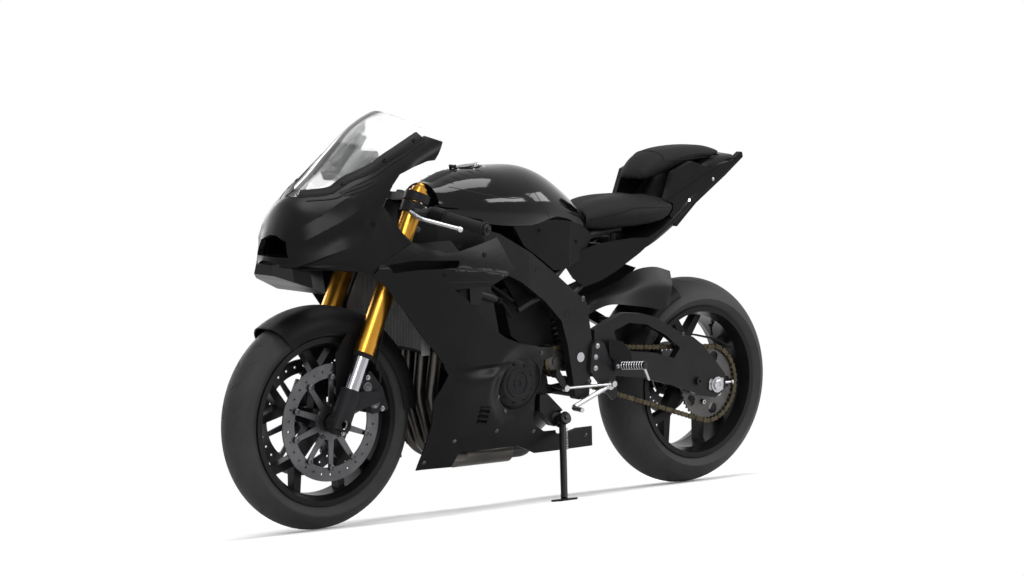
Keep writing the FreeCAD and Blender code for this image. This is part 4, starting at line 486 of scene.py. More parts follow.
def patch(mesh, names, outline, lift, step, sign):
    """A thin panel laid on a surface inside an outline of (x, z) pairs."""
    xs, zs = zip(*outline)
    width, columns = max(xs) - min(xs), int((max(xs) - min(xs)) / step)
    rows = max(int((max(zs) - min(zs)) / step), 2)
    grid = []
    for column in range(columns + 1):
        x = min(xs) + width * (0.002 + 0.996 * column / columns)
        cuts = [az + (bz - az) * (x - ax) / (bx - ax)
                for (ax, az), (bx, bz) in zip(outline, outline[1:] + outline[:1])
                if min(ax, bx) <= x < max(ax, bx)]
        if len(cuts) > 1:
            low, high = min(cuts), max(cuts)
            origins = [(x, sign * FAR, low + (high - low) * row / rows) for row in range(rows + 1)]
            line = drape(names, origins, LEFT * -sign, lift)
            if len(line) > rows:
                grid.append(line)
    sheet(mesh, grid)


def ease(value):
    """A smooth step from 0 to 1."""
    value = max(0.0, min(1.0, value))
    return value * value * (3 - 2 * value)


def off_line(x, z, points):
    """The distance from a line of (x, z) points, and on which side of it a point lies."""
    best, side = 10.0, 0.0
    for (ax, az), (bx, bz) in zip(points, points[1:]):
        run, rise = bx - ax, bz - az
        share = max(0.0, min(1.0, ((x - ax) * run + (z - az) * rise) / (run * run + rise * rise)))
        gap = math.hypot(x - ax - run * share, z - az - rise * share)
        if gap < best:
            best, side = gap, run * (z - az) - rise * (x - ax)
    return best, side


def sculpt(name, look, node, relief, step, cuts):
    """A packed panel's own mesh, cut finely and shaped further by a relief."""
    with Piece(name, look, sharp=38) as mesh:
        mesh.from_mesh(frame["nodes"][node].data)
        mesh.transform(UPRIGHT)
        planes = [(Vector(at), Vector(way)) for at, way in cuts]
        for axis, way in ((0, AHEAD), (2, UP)):
            low = min(vert.co[axis] for vert in mesh.verts)
            high = max(vert.co[axis] for vert in mesh.verts)
            count = int((high - low) / step)
            planes += [(way * (low + (high - low) * number / count), way) for number in range(1, count)]
        for at, way in planes:
            bmesh.ops.bisect_plane(mesh, geom=mesh.verts[:] + mesh.edges[:] + mesh.faces[:], plane_co=at,
                                   plane_no=way, dist=1e-5)
        for vert in mesh.verts:
            vert.co += relief(vert.co)
    SHAPED[node] = MADE[name]
    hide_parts(node)


# Wheels

TYRES = {
    # axle, radius, half width, drop of the crown, half width of the rim, sipes a turn
    "front": (FRONT_AXLE, 0.300, 0.060, 0.044, 0.050, 15),
    "rear": (REAR_AXLE, 0.315, 0.090, 0.062, 0.080, 13)}
RIM_SEAT, RIM_FLANGE, RIM_WALL = 0.220, 0.229, 0.006
SEAT_GAP, FLANGE_GAP = 0.0004, 0.0003
TURN_STEPS, TREAD_STEPS, WALL_STEPS = 900, 44, 10
GROOVE_DEPTH, GROOVE_HALF = 0.0034, 0.0027
GROOVES = (
    # start in pitches, first and last share of the half width, lean, bend
    (0.0, 0.10, 0.78, 0.42, 0.30), (0.5, 0.42, 0.93, 0.30, 0.16), (0.3, 0.02, 0.34, 0.20, 0.10))
VALVE = [(0, 0), (0.007, 0), (0.006, 0.006), (0.0035, 0.009), (0.0035, 0.03), (0.0042, 0.031), (0.0042, 0.04),
         (0, 0.04)]
BOBBIN = [(0, -0.002), (0.0085, -0.002), (0.0085, 0.0018), (0.0072, 0.0026), (0.0045, 0.0026),
          (0.004, 0.0006), (0, 0.0006)]
BOBBIN_RADIUS, DISC_FACE = 0.1225, 0.0708
DISC_BOLT_RADIUS, SPROCKET_NUT_RADIUS, VALVE_ANGLE = 0.046, 0.058, 2.2


def groove(angle, share, radius, count):
    """How deep the tread is cut at an angle and a signed share of the half width."""
    wide = abs(share)
    pitch = math.tau / count
    best = 1.0
    for start, low, high, lean, bend in GROOVES:
        if low < wide < high:
            middle = (start + (0.5 if share > 0 else 0.0)) * pitch + lean * wide + bend * wide * wide
            off = (angle - middle + pitch / 2) % pitch - pitch / 2
            ends = min((wide - low) / 0.05, (high - wide) / 0.05, 1.0)
            best = min(best, abs(off) * radius / (GROOVE_HALF * max(ends, 0.05)))
    return GROOVE_DEPTH * max(0.0, min(1.0, (1.25 - best) / 0.5))


def tyre(name, axle, radius, half, drop, rim_half, count):
    """A tyre's skin with its tread cut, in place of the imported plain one."""
    crown = (half ** 2 + drop ** 2) / (2 * drop)
    bead = rim_half - RIM_WALL - FLANGE_GAP
    ways = [half * (2 * step / TREAD_STEPS - 1) for step in range(TREAD_STEPS + 1)]
    tread = [(y, radius - crown + math.sqrt(crown ** 2 - y ** 2)) for y in ways]
    start, end = Vector((half, radius - drop)), Vector((bead, RIM_FLANGE + FLANGE_GAP))
    chord = end - start
    bulge = chord.length ** 2 / (8 * crown * 1.2)
    out = Vector((-chord.y, chord.x)).normalized()
    shares = [step / WALL_STEPS for step in range(1, WALL_STEPS + 1)]
    wall = [tuple(start + chord * share + out * (bulge * 4 * share * (1 - share))) for share in shares]
    profile = [(-y, r) for y, r in reversed(wall)] + tread + wall
    profile += [(bead, RIM_SEAT + SEAT_GAP), (-bead, RIM_SEAT + SEAT_GAP)]
    with Piece(name + "_tyre_tread", "tyre_rubber", name + "_wheel", sharp=50) as mesh:
        rings = []
        for turn in range(TURN_STEPS):
            angle = math.tau * turn / TURN_STEPS
            ring = []
            for index, (y, r) in enumerate(profile):
                on_tread = WALL_STEPS < index < WALL_STEPS + TREAD_STEPS
                cut = groove(angle, y / half, r, count) if on_tread else 0.0
                ring.append(mesh.verts.new(axle + facing(angle) * (r - cut) + LEFT * y))
            rings.append(ring)
        for low, high in zip(rings, rings[1:] + rings[:1]):
            band(mesh, low, high)
    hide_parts(name + "_tyre")


def wheel_details():
    way = facing(VALVE_ANGLE)
    for name, (axle, *_) in TYRES.items():
        with Piece(name + "_valve_stem", "black_rubber", name + "_wheel") as mesh:
            lathe(mesh, axle + way * (RIM_SEAT - 0.022) + LEFT * 0.004, -way * 0.8 + LEFT * 0.6, VALVE, 14)
    for side, sign in SIDES:
        with Piece("front_disc_bobbins_" + side, "disc_steel", "front_wheel") as mesh:
            for x, z in spots(FRONT_AXLE, BOBBIN_RADIUS, [(number + 0.5) / 10 for number in range(10)]):
                lathe(mesh, Vector((x, DISC_FACE * sign, z)), LEFT * sign, BOBBIN, 18)
        with Piece("front_disc_bolts_" + side, "disc_steel", "front_wheel") as mesh:
            places = spots(FRONT_AXLE, DISC_BOLT_RADIUS, [(number + 0.25) / 5 for number in range(5)])
            seat(mesh, ("front_disc_" + side, "front_rim"), places, sign, bolt, 0.0058, 0.005)
    with Piece("rear_sprocket_nuts", "silver_lever", "rear_wheel") as mesh:
        places = spots(REAR_AXLE, SPROCKET_NUT_RADIUS, [number / 5 for number in range(5)])
        seat(mesh, ("rear_sprocket",), places, 1, nut, 0.0072, 0.007)


# Chain

CHAIN_PITCH, CHAIN_AT = 0.015875, 0.107
REAR_TEETH, FRONT_TEETH = 45, 16
SPROCKET_AT = Vector((0.610, 0.0, 0.420))
OUTER_PLATE, INNER_PLATE = (0.0080, 0.0100, 0.0072), (0.0054, 0.0074, 0.0074)


def chain_line():
    """The points of the chain's pins round both sprockets."""
    big = CHAIN_PITCH / (2 * math.sin(math.pi / REAR_TEETH))
    small = CHAIN_PITCH / (2 * math.sin(math.pi / FRONT_TEETH))
    gap = SPROCKET_AT - REAR_AXLE
    swing, tilt = math.asin((big - small) / gap.length), math.atan2(gap.z, gap.x)
    upper, lower = tilt + math.pi / 2 + swing, tilt - math.pi / 2 - swing
    straight = math.sqrt(gap.length ** 2 - (big - small) ** 2)
    arc = small * (upper - lower)
    total = 2 * straight + arc + big * (math.tau - (upper - lower))
    count = 2 * round(total / CHAIN_PITCH / 2)
    points = []
    for number in range(count):
        run = total * number / count
        if run < straight:
            a, b = REAR_AXLE + facing(upper) * big, SPROCKET_AT + facing(upper) * small
            points.append(a + (b - a) * run / straight)
            continue
        run -= straight
        if run < arc:
            points.append(SPROCKET_AT + facing(upper - run / small) * small)
            continue
        run -= arc
        if run < straight:
            a, b = SPROCKET_AT + facing(lower) * small, REAR_AXLE + facing(lower) * big
            points.append(a + (b - a) * run / straight)
        else:
            points.append(REAR_AXLE + facing(lower - (run - straight) / big) * big)
    return points


def link_plate(mesh, start, end, low, high, radius):
    """A waisted side plate between two pins."""
    way = (end - start).normalized()
    rise = Vector((-way.z, 0, way.x))
    outline = []
    for centre, turn, sign in ((start, math.pi / 2, -1), (end, -math.pi / 2, 1)):
        for step in range(7):
            angle = turn + math.pi * step / 6
            outline.append(centre + (way * math.cos(angle) + rise * math.sin(angle)) * radius)
        outline.append((start + end) / 2 + rise * sign * radius * 0.72)
    loft(mesh, [[point + LEFT * y for point in outline] for y in (low, high)])


def chain_links():
    points = chain_line()
    with Piece("chain_links", "chain_brass") as mesh:
        for number, point in enumerate(points):
            after = points[(number + 1) % len(points)]
            near, far, radius = OUTER_PLATE if number % 2 else INNER_PLATE
            for low, high in ((near, far), (-far, -near)):
                link_plate(mesh, point, after, CHAIN_AT + low, CHAIN_AT + high, radius)
            for half, pin, sides in ((0.0105, 0.0026, 8), (0.0053, 0.0050, 10)):
                rod(mesh, point + LEFT * (CHAIN_AT - half), point + LEFT * (CHAIN_AT + half), pin, sides)
    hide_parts("chain")


# Steering

RAKE, TRAIL = math.radians(23), 0.097
FORK_UP = Vector((-math.sin(RAKE), 0, math.cos(RAKE)))
FORK_AHEAD = Vector((math.cos(RAKE), 0, math.sin(RAKE)))
STEER_FOOT = Vector((1.375 + TRAIL, 0, 0))
LEG_AHEAD = 0.300 * math.sin(RAKE) - TRAIL * math.cos(RAKE)
LEG_BASE = 0.300 * math.cos(RAKE) + TRAIL * math.sin(RAKE)
LEG_SIDE, LEG_TOP, SEAL_AT = 0.104, 0.675, 0.2005
FORK_CAP = [(0, -0.001), (0.0205, -0.001), (0.0205, 0.004), (0.018, 0.006), (0, 0.006)]
CAP_HEXAGON = [(0.012, 0), (0.012, 0.007), (0.010, 0.009), (0, 0.009)]
FORK_SEAL = [(0.0216, 0), (0.027, 0), (0.0262, 0.006), (0.0245, 0.010), (0.0217, 0.012)]
STEM_NUT = [(0, -0.001), (0.019, -0.001), (0.019, 0.006), (0.016, 0.008), (0.008, 0.008), (0.008, 0.002),
            (0, 0.002)]
BUTTON = [(0, -0.002), (0.005, -0.002), (0.0046, 0.003), (0.0030, 0.0036), (0, 0.0036)]
CALIPER_CAP = [(0, -0.001), (0.0155, -0.001), (0.0155, 0.0022), (0.013, 0.0038), (0.0085, 0.0030),
               (0.007, 0.0018), (0, 0.0018)]
LEVER_BALL, GRIP_END, LEVER_END = 0.0085, 0.03, 0.006
GRIP_RIBS = 16


def on_leg(height, sign, ahead=0.0):
    """A place on a fork leg, above the axle and ahead of the leg's own line."""
    return (STEER_FOOT + FORK_AHEAD * (LEG_AHEAD + ahead) + FORK_UP * (LEG_BASE + height)
            + LEFT * (LEG_SIDE * sign))


def fork_details():
    with Piece("fork_caps", "gold_anodised", "steering") as mesh:
        for _, sign in SIDES:
            top = on_leg(LEG_TOP, sign)
            lathe(mesh, top, FORK_UP, FORK_CAP, 28)
            lathe(mesh, top + FORK_UP * 0.006, FORK_UP, CAP_HEXAGON, 6)
            rod(mesh, top + FORK_UP * 0.014, top + FORK_UP * 0.02, 0.004, 12)
    with Piece("fork_seals", "black_rubber", "steering") as mesh:
        for _, sign in SIDES:
            lathe(mesh, on_leg(SEAL_AT, sign), -FORK_UP, FORK_SEAL, 28)
    with Piece("fork_foot_bolts", "silver_lever", "steering") as mesh:
        for _, sign in SIDES:
            feet = [on_leg(height, sign, ahead) for height, ahead in ((0.018, -0.03), (-0.020, -0.012))]
            seat(mesh, ("fork_feet",), [(foot.x, foot.z) for foot in feet], sign, bolt, 0.0052, 0.005)
    with Piece("axle_nut", "silver_lever", "steering") as mesh:
        for _, sign in SIDES:
            place, _ = on_side(("fork_feet", "front_axle"), FRONT_AXLE.x + 0.010, FRONT_AXLE.z, sign)
            at = Vector((FRONT_AXLE.x, place.y + sign * 0.001, FRONT_AXLE.z))
            torus(mesh, at, LEFT, 0.0135, 0.0022, 28)
    with Piece("steering_nut", "black_frame", "steering") as mesh:
        place, _ = hit(("triple_clamps",), STEER_FOOT + FORK_UP * 1.3, -FORK_UP)
        lathe(mesh, place, FORK_UP, STEM_NUT, 6)
        bolt(mesh, place + FORK_UP * 0.003, FORK_UP, 0.007, 0.004)


def middle(points):
    return sum(points, HERE) / len(points)


def side_points(node, sign):
    """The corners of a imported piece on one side, and its nearest and farthest place from the middle plane."""
    points = [UPRIGHT @ vert.co for vert in frame["nodes"][node].data.vertices]
    points = [point for point in points if point.y * sign > 0]
    reach = [point.y for point in points]
    return points, min(reach, key=abs), max(reach, key=abs)


def bar_details():
    for side, sign in SIDES:
        points, near, far = side_points("grips", sign)
        low = middle([point for point in points if abs(point.y - near) < GRIP_END])
        high = middle([point for point in points if abs(point.y - far) < GRIP_END])
        way = (high - low).normalized()
        length = (high - low).length
        with Piece("grip_ribs_" + side, "black_rubber", "steering") as mesh:
            for share in evenly(0.06, 0.94, GRIP_RIBS - 1):
                at = low + way * length * share
                torus(mesh, at, way, 0.0172, 0.0010, 28, 6)
            torus(mesh, low - way * 0.001, way, 0.0185, 0.0028, 28)
            torus(mesh, high + way * 0.001, way, 0.0178, 0.0022, 28)
        with Piece("bar_end_" + side, "black_frame", "steering") as mesh:
            place, _ = hit(("clip_ons",), high + way * 0.2, -way)
            bolt(mesh, place, way, 0.007, 0.004)
        with Piece("switch_buttons_" + side, "black_plastic", "steering") as mesh:
            for lean, along in ((0.6, -0.012), (0.9, 0.004), (0.2, -0.004)):
                out = (UP * math.cos(lean) - AHEAD * math.sin(lean)).normalized()
                place, normal = hit(("control_housings",), low + way * (along - 0.035) + out * 0.1, -out)
                if place is not None:
                    lathe(mesh, place, normal, BUTTON, 14)
        with Piece("perch_bolts_" + side, "silver_lever", "steering") as mesh:
            for back in (0.068, 0.084):
                above = low - way * back + UP * 0.12 + AHEAD * 0.004
                place, normal = hit(("lever_perches", "clip_ons"), above, -UP)
                if place is not None:
                    bolt(mesh, place, normal, 0.0035, 0.0035)
    with Piece("lever_ends", "silver_lever", "steering") as mesh:
        angles = [math.pi * step / 10 for step in range(11)]
        ball = [(LEVER_BALL * math.sin(angle), -LEVER_BALL * math.cos(angle)) for angle in angles]
        for _, sign in SIDES:
            points, _, far = side_points("levers", sign)
            at = middle([point for point in points if abs(point.y - far) < LEVER_END]) - LEFT * sign * 0.004
            lathe(mesh, at, LEFT * sign, ball, 20)


def caliper_details():
    for side, sign in SIDES:
        with Piece("caliper_caps_" + side, "disc_steel", "steering") as mesh:
            places = spots(FRONT_AXLE, 0.134, (138 / 360, 160 / 360))
            seat(mesh, ("front_calipers",), places, sign, lathe, CALIPER_CAP, 26)
        with Piece("caliper_bolts_" + side, "silver_lever", "steering") as mesh:
            places = (spots(FRONT_AXLE, 0.155, (131 / 360, 169 / 360))
                      + spots(FRONT_AXLE, 0.12, (149.5 / 360,)))
            seat(mesh, ("front_calipers",), places, sign, bolt, 0.005, 0.005)


# Body panels

PANEL_FRONT = [(1.374, 0.700), (1.317, 0.603), (1.221, 0.530), (1.124, 0.447), (1.123, 0.393), (1.122, 0.348),
               (1.172, 0.238), (1.216, 0.160)]
PANEL_TOP = [(1.40, 0.7155), (1.28, 0.7185), (1.105, 0.713), (0.977, 0.701), (0.80, 0.672)]
PANEL_CREASE, PANEL_SWELL = 0.447, 0.025
COVER_AT, COVER_CLEAR = (0.815, 0.378), 0.068
COWL_RIDGE = [(1.50, 0.790), (1.42, 0.838), (1.37, 0.872), (1.32, 0.903), (1.26, 0.940), (1.19, 0.975)]
COWL_BROW = [(1.505, 0.823), (1.455, 0.857), (1.405, 0.893), (1.385, 0.905)]
# Stations of the panel between the nose and the side panel: x, z and the distance from the middle plane.
INNER_TOP = (
    (1.06, 0.786, 0.176), (1.13, 0.784, 0.180), (1.188, 0.784, 0.182), (1.225, 0.808, 0.183),
    (1.252, 0.835, 0.183), (1.278, 0.868, 0.180), (1.300, 0.886, 0.179), (1.322, 0.850, 0.182),
    (1.342, 0.820, 0.187), (1.362, 0.801, 0.186), (1.40, 0.785, 0.171), (1.43, 0.773, 0.155),
    (1.46, 0.758, 0.135), (1.49, 0.744, 0.112), (1.515, 0.733, 0.082))
INNER_FOOT = (
    (1.04, 0.750, 0.2015), (1.10, 0.748, 0.203), (1.15, 0.760, 0.196), (1.19, 0.770, 0.190),
    (1.215, 0.766, 0.188), (1.235, 0.758, 0.1885), (1.25, 0.751, 0.189), (1.275, 0.738, 0.187),
    (1.30, 0.722, 0.1845), (1.325, 0.708, 0.180), (1.36, 0.712, 0.165), (1.40, 0.715, 0.148),
    (1.43, 0.717, 0.133), (1.46, 0.7175, 0.115), (1.50, 0.719, 0.088))
INNER_ROWS, INNER_COUNT, PANEL_WALL = 12, 90, 0.002
SLOT_BACK = [(1.315, 0.712), (1.27, 0.742), (1.03, 0.745), (1.02, 0.700), (1.29, 0.695)]
AIRBOX = [(0.66, 0.60), (0.70, 0.72), (0.80, 0.775), (0.90, 0.775), (0.90, 0.72), (0.80, 0.66), (0.74, 0.58)]
AIRBOX_FOOT = [(0.60, 0.47), (0.63, 0.62), (0.72, 0.66), (0.80, 0.63), (0.76, 0.50), (0.70, 0.46)]
CANISTER = [(0, 0), (0.010, 0), (0.0135, 0.004), (0.0135, 0.085), (0.0115, 0.087), (0.0115, 0.096),
            (0.009, 0.102), (0, 0.102)]
STARTER_PIPE = ((0.767, 0.120, 0.575), (0.72, 0.124, 0.598), (0.688, 0.128, 0.611), (0.672, 0.130, 0.636))


def panel_relief(place):
    """The side panel turns in at its front, and stands out over its crease and under its shoulder."""
    x, z = place.x, place.z
    swell = PANEL_SWELL * ease(off_line(x, z, PANEL_FRONT)[0] / 0.09)
    if z >= PANEL_CREASE - 0.0005:
        swell *= 0.30 + 0.70 * (1 - min(1.0, (z - PANEL_CREASE) / 0.19)) ** 1.4
    off_cover = math.hypot(x - COVER_AT[0], z - COVER_AT[1])
    swell *= ease((off_cover - COVER_CLEAR) / 0.06) * ease((x - 0.72) / 0.10)
    if z < PANEL_CREASE - 0.0005:
        swell *= ease((PANEL_CREASE - 0.004 - z) / (0.03 + 0.27 * max(0.0, x - 0.88)))
    gap, side = off_line(x, z, PANEL_TOP)
    if side < 0:
        swell *= 1 - ease(gap / 0.006)
    return LEFT * math.copysign(swell, place.y)


def cowl_relief(place):
    """The nose has a ridge from the intake to the screen's ear and a brow over it."""
    push = 0.0
    for line, height, above, below in ((COWL_RIDGE, 0.0075, 0.030, 0.014), (COWL_BROW, 0.0040, 0.014, 0.010)):
        gap, side = off_line(place.x, place.z, line)
        push += height * math.exp(-gap / (above if side < 0 else below))
    push *= ease(abs(place.y) / 0.05) * ease((place.x - 1.16) / 0.06) * ease((1.515 - place.x) / 0.02)
    return Vector((0.15, math.copysign(1.0, place.y), 0.35)).normalized() * push


def line_planes(line):
    """Cutting planes across the side view along a line of (x, z) points."""
    return [((ax, 0, az), (az - bz, 0, bx - ax)) for (ax, az), (bx, bz) in zip(line, line[1:])]


def body_panels():
    for side, sign in SIDES:
        sculpt("side_panel_" + side, "satin_panel", "side_cowl_" + side, panel_relief, 0.010,
               [((0, 0, PANEL_CREASE), UP), ((0, 0, PANEL_CREASE - 0.004), UP)] + line_planes(PANEL_TOP))
        with Piece("inner_cowl_" + side, "satin_panel") as mesh:
            top, foot = (smooth_line(to_side([(x, y, z) for x, z, y in stations], sign), INNER_COUNT)
                         for stations in (INNER_TOP, INNER_FOOT))
            grid = []
            for row in range(INNER_ROWS + 1):
                share = row / INNER_ROWS
                hollow = LEFT * sign * 0.016 * math.sin(math.pi * share)
                grid.append([high + (low - high) * share - hollow * ease((number - 50) / 20)
                             for number, (high, low) in enumerate(zip(top, foot))])
            shell(mesh, grid, PANEL_WALL)
        with Piece("slot_backing_" + side, "black_plastic") as mesh:
            prism(mesh, SLOT_BACK, 0.160 * sign, 0.162 * sign)
        with Piece("starter_" + side, "footrest_alloy") as mesh:
            start, end = Vector((0.943, 0.112 * sign, 0.638)), Vector((0.841, 0.118 * sign, 0.609))
            lathe(mesh, start, end - start, CANISTER, 28)
            bolt(mesh, end + (end - start).normalized() * 0.010, LEFT * sign, 0.006, 0.006)
            tube(mesh, to_side(STARTER_PIPE, sign), 0.0085, 12, 20)
    sculpt("nose_cowl", "satin_panel", "upper_cowl", cowl_relief, 0.014,
           line_planes(COWL_RIDGE) + line_planes(COWL_BROW))
    with Piece("airbox", "black_plastic") as mesh:
        prism(mesh, AIRBOX, -0.095, 0.095)
        prism(mesh, AIRBOX_FOOT, -0.085, 0.085)


# Trim that follows surfaces on both sides. A node's name that ends in _ gets the side.

SCREEN_EDGE = [(1.458, 0.911), (1.403, 0.9215), (1.362, 0.949), (1.30, 0.9795), (1.25, 1.011), (1.19, 1.043),
               (1.14, 1.068)]
VENT_SLAT = [(0.954, 0.323), (0.938, 0.319), (0.922, 0.318)]
STRIPS = {
    # piece: look, slot, then nodes, line, width, height and number of points of each strip
    "screen_edge": ("black_plastic", None, (
        ("screen", [(x + 0.001, z + 0.0015) for x, z in SCREEN_EDGE], 0.036, 0.0016, 60),
        ("upper_cowl", [(x, z - 0.0145) for x, z in SCREEN_EDGE], 0.005, 0.0014, 60))),
    "side_seams": ("black_rubber", "black_plastic", (
        ("side_cowl_", [(1.10, 0.676), (1.02, 0.674), (0.94, 0.672), (0.87, 0.670)], 0.003, 0.0004, 40),)),
    "vent_slats": ("black_plastic", None, [
        ("side_cowl_", [(x, z - 0.0145 * number) for x, z in VENT_SLAT], 0.006, 0.004, 10)
        for number in range(4)]),
    "tank_seams": ("black_rubber", "black_plastic", (
        ("fuel_tank", [(0.74, 0.935), (0.72, 0.90), (0.70, 0.87), (0.665, 0.835)], 0.0028, 0.0003, 40),
        ("fuel_tank", [(0.985, 0.925), (0.90, 0.905), (0.82, 0.893), (0.75, 0.90), (0.735, 0.925)],
         0.0028, 0.0003, 50))),
    "tail_creases": ("satin_panel", None, (
        ("tail_cowl", [(0.195, 0.865), (0.13, 0.895), (0.06, 0.930), (-0.01, 0.958), (-0.09, 0.99)],
         0.007, 0.0018, 40),)),
    "tail_seams": ("black_rubber", "black_plastic", (
        ("tail_cowl", [(0.28, 0.745), (0.20, 0.79), (0.13, 0.845), (0.05, 0.885), (-0.03, 0.935),
                       (-0.09, 0.975)], 0.003, 0.0003, 50),)),
}
BOLTS = {
    # piece: look, radius, height, then the places (x, z) on each of its nodes
    "screen_bolts": ("black_plastic", 0.0062, 0.0045, {
        "screen": ((1.372, 0.9415), (1.262, 1.0045), (1.166, 1.0565))}),
    "panel_bolts": ("disc_steel", 0.0045, 0.003, {
        "side_cowl_": ((0.85, 0.302), (0.885, 0.345), (0.735, 0.32), (1.085, 0.17), (0.75, 0.462),
                       (1.01, 0.228)),
        "belly_panels": ((0.86, 0.245), (0.72, 0.232), (0.50, 0.2))}),
    "panel_plugs": ("black_plastic", 0.0062, 0.003, {
        "side_cowl_": ((1.110, 0.6975), (0.96, 0.745)), "upper_cowl": ((1.33, 0.84),)}),
    "tank_cover_bolts": ("black_plastic", 0.0058, 0.003, {
        "tank_side_covers": ((0.545, 0.762), (0.70, 0.80))}),
    "frame_bolts": ("disc_steel", 0.0062, 0.0045, {
        "main_frame": ((0.61, 0.668), (0.578, 0.632), (0.545, 0.60), (0.86, 0.72), (1.08, 0.81),
                       (0.515, 0.36))}),
    "arm_bolts": ("disc_steel", 0.0045, 0.0035, {
        "swingarm rear_hugger": ((0.40, 0.545), (0.20, 0.515), (0.14, 0.475)),
        "rear_hugger": ((0.33, 0.60), (0.19, 0.60))}),
    "rearset_bolts": ("silver_lever", 0.0058, 0.0045, {
        "footrests": ((0.494, 0.462), (0.5, 0.43), (0.5, 0.398), (0.428, 0.4))}),
    "tail_bolts": ("silver_lever", 0.0042, 0.003, {"tail_cowl": ((0.25, 0.752), (0.10, 0.87), (0.0, 0.93))}),
}
COWL_VENT = [(1.392, 0.921), (1.352, 0.938), (1.308, 0.955), (1.302, 0.946), (1.345, 0.925), (1.388, 0.911)]
VENT_LIP = [(1.385, 0.918), (1.345, 0.935), (1.310, 0.950)]
DUCT = ((-0.095, 0.747), (0.095, 0.747), (0.076, 0.791), (0.02, 0.806), (-0.02, 0.806), (-0.076, 0.791))


def on(nodes, side):
    return tuple(name + side if name.endswith("_") else name for name in nodes.split())


def trim():
    for side, sign in SIDES:
        for name, (look, slot, strips) in STRIPS.items():
            with Piece(name + "_" + side, look, slot=slot) as mesh:
                for nodes, *shape in strips:
                    strip(mesh, on(nodes, side), *shape, sign)
        for name, (look, radius, height, places) in BOLTS.items():
            with Piece(name + "_" + side, look) as mesh:
                for nodes, spread in places.items():
                    seat(mesh, on(nodes, side), spread, sign, bolt, radius, height, flat=False)
        with Piece("cowl_vents_" + side, "black_plastic") as mesh:
            patch(mesh, ("upper_cowl",), COWL_VENT, 0.0012, 0.004, sign)
            strip(mesh, ("upper_cowl",), VENT_LIP, 0.004, 0.0024, 24, sign)


def intake():
    """The nose's intake: its mesh, and the duct behind it."""
    with Piece("intake_mesh", "black_plastic") as mesh:
        for number in range(15):
            y = -0.091 + 0.182 * number / 14
            rod(mesh, (1.452, y, 0.748), (1.440, y * 0.8, 0.806), 0.0010, 5)
        for number in range(6):
            z = 0.752 + 0.0105 * number
            tube(mesh, [(1.451 - 0.2 * (z - 0.75), y, z) for y in (-0.092, 0.0, 0.092)], 0.0010, 5, 3)
    with Piece("intake_duct", "black_plastic") as mesh:
        rings = []
        for x in (1.502, 1.475, 1.45, 1.425):
            share = (1.6 - x) / 0.18
            wide, tall, rise = (0.55 + 0.45 * share) * 1.02, 0.97 + 0.03 * share, 0.024 * (1 - share)
            rings.append([(x, y * wide, z * tall + rise) for y, z in DUCT])
        loft(mesh, rings, front=False)


# Tank

TANK = ("fuel_tank",)
OVER = 1.3
CAP_AT, CAP_WAY = Vector((0.8625, 0.0, 0.968)), Vector((0.012, 0, 0.065)).normalized()
CAP_LOCK = [(0, -0.0005), (0.013, -0.0005), (0.0125, 0.0016), (0.009, 0.0022), (0, 0.0022)]


def tank_details():
    for side, sign in SIDES:
        with Piece("tank_louvres_" + side, "black_plastic") as mesh:
            for number in range(5):
                x = 0.985 - 0.026 * number
                origins = [(x - 0.022 * step / 8, sign * (0.035 + 0.052 * step / 8), OVER)
                           for step in range(9)]
                tube(mesh, drape(TANK, origins, -UP, -0.0024), 0.0036, 6, 20,
                     taper=lambda share: 0.35 + 0.65 * math.sin(math.pi * share))
    with Piece("tank_front_cover", "black_plastic") as mesh:
        rows = []
        for row in range(9):
            half = 0.026 + 0.006 * math.sin(math.pi * row / 8)
            line = []
            for column in range(13):
                across_it = 2 * column / 12 - 1
                place, normal = hit(TANK, (1.012 - 0.095 * row / 8, half * across_it, OVER), -UP)
                edge = min(1.0, (1 - abs(across_it)) * 4, row / 1.5, (8 - row) / 1.5)
                if place is not None:
                    line.append(place + normal * (0.0034 * edge - 0.0006))
            if len(line) == 13:
                rows.append(line)
        sheet(mesh, rows)
    with Piece("cap_ring_bolts", "silver_lever") as mesh:
        for x, y in spots(HERE, 0.0515, [(number + 0.5) / 7 for number in range(7)]):
            place, normal = hit(TANK, CAP_AT + Vector((x, y, 0.2)), -UP)
            if place is not None:
                bolt(mesh, place, normal, 0.0032, 0.002)
    with Piece("cap_lock", "silver_lever", "fuel_cap") as mesh:
        place, _ = hit(("fuel_cap",), CAP_AT + UP * 0.2, -CAP_WAY)
        lathe(mesh, place, CAP_WAY, CAP_LOCK, 28)
        slot = place + CAP_WAY * 0.002
        rod(mesh, slot - LEFT * 0.004, slot + LEFT * 0.004, 0.0008, 6)


# Engine, cooling and frame

CORE_LOW, CORE_HALF, FIN_GAP = 0.482, 0.155, 0.0045
THROTTLE_SIDES = [-0.0795 + 0.053 * number for number in range(4)]
THROTTLE = [(0, 0), (0.021, 0), (0.021, 0.02), (0.0235, 0.022), (0.0235, 0.05), (0.021, 0.052),
            (0.022, 0.082), (0.026, 0.096), (0.024, 0.096), (0.019, 0.07), (0, 0.07)]
WIRES = (((1.02, 0.09, 0.70), (0.97, 0.094, 0.665), (0.90, 0.097, 0.668), (0.83, 0.094, 0.640),
          (0.77, 0.105, 0.60)),
         ((1.00, 0.088, 0.69), (0.93, 0.096, 0.652), (0.87, 0.098, 0.640), (0.81, 0.10, 0.60),
          (0.775, 0.104, 0.555)))
HOSE = ((1.075, 0.135, 0.51), (1.045, 0.138, 0.50), (1.02, 0.132, 0.515), (0.985, 0.118, 0.545),
        (0.955, 0.105, 0.565))
HOSE_CLIPS = (((1.045, 0.138, 0.50), (-1, 0, 0.1)), ((0.978, 0.1155, 0.549), (-0.8, -0.2, 0.5)))


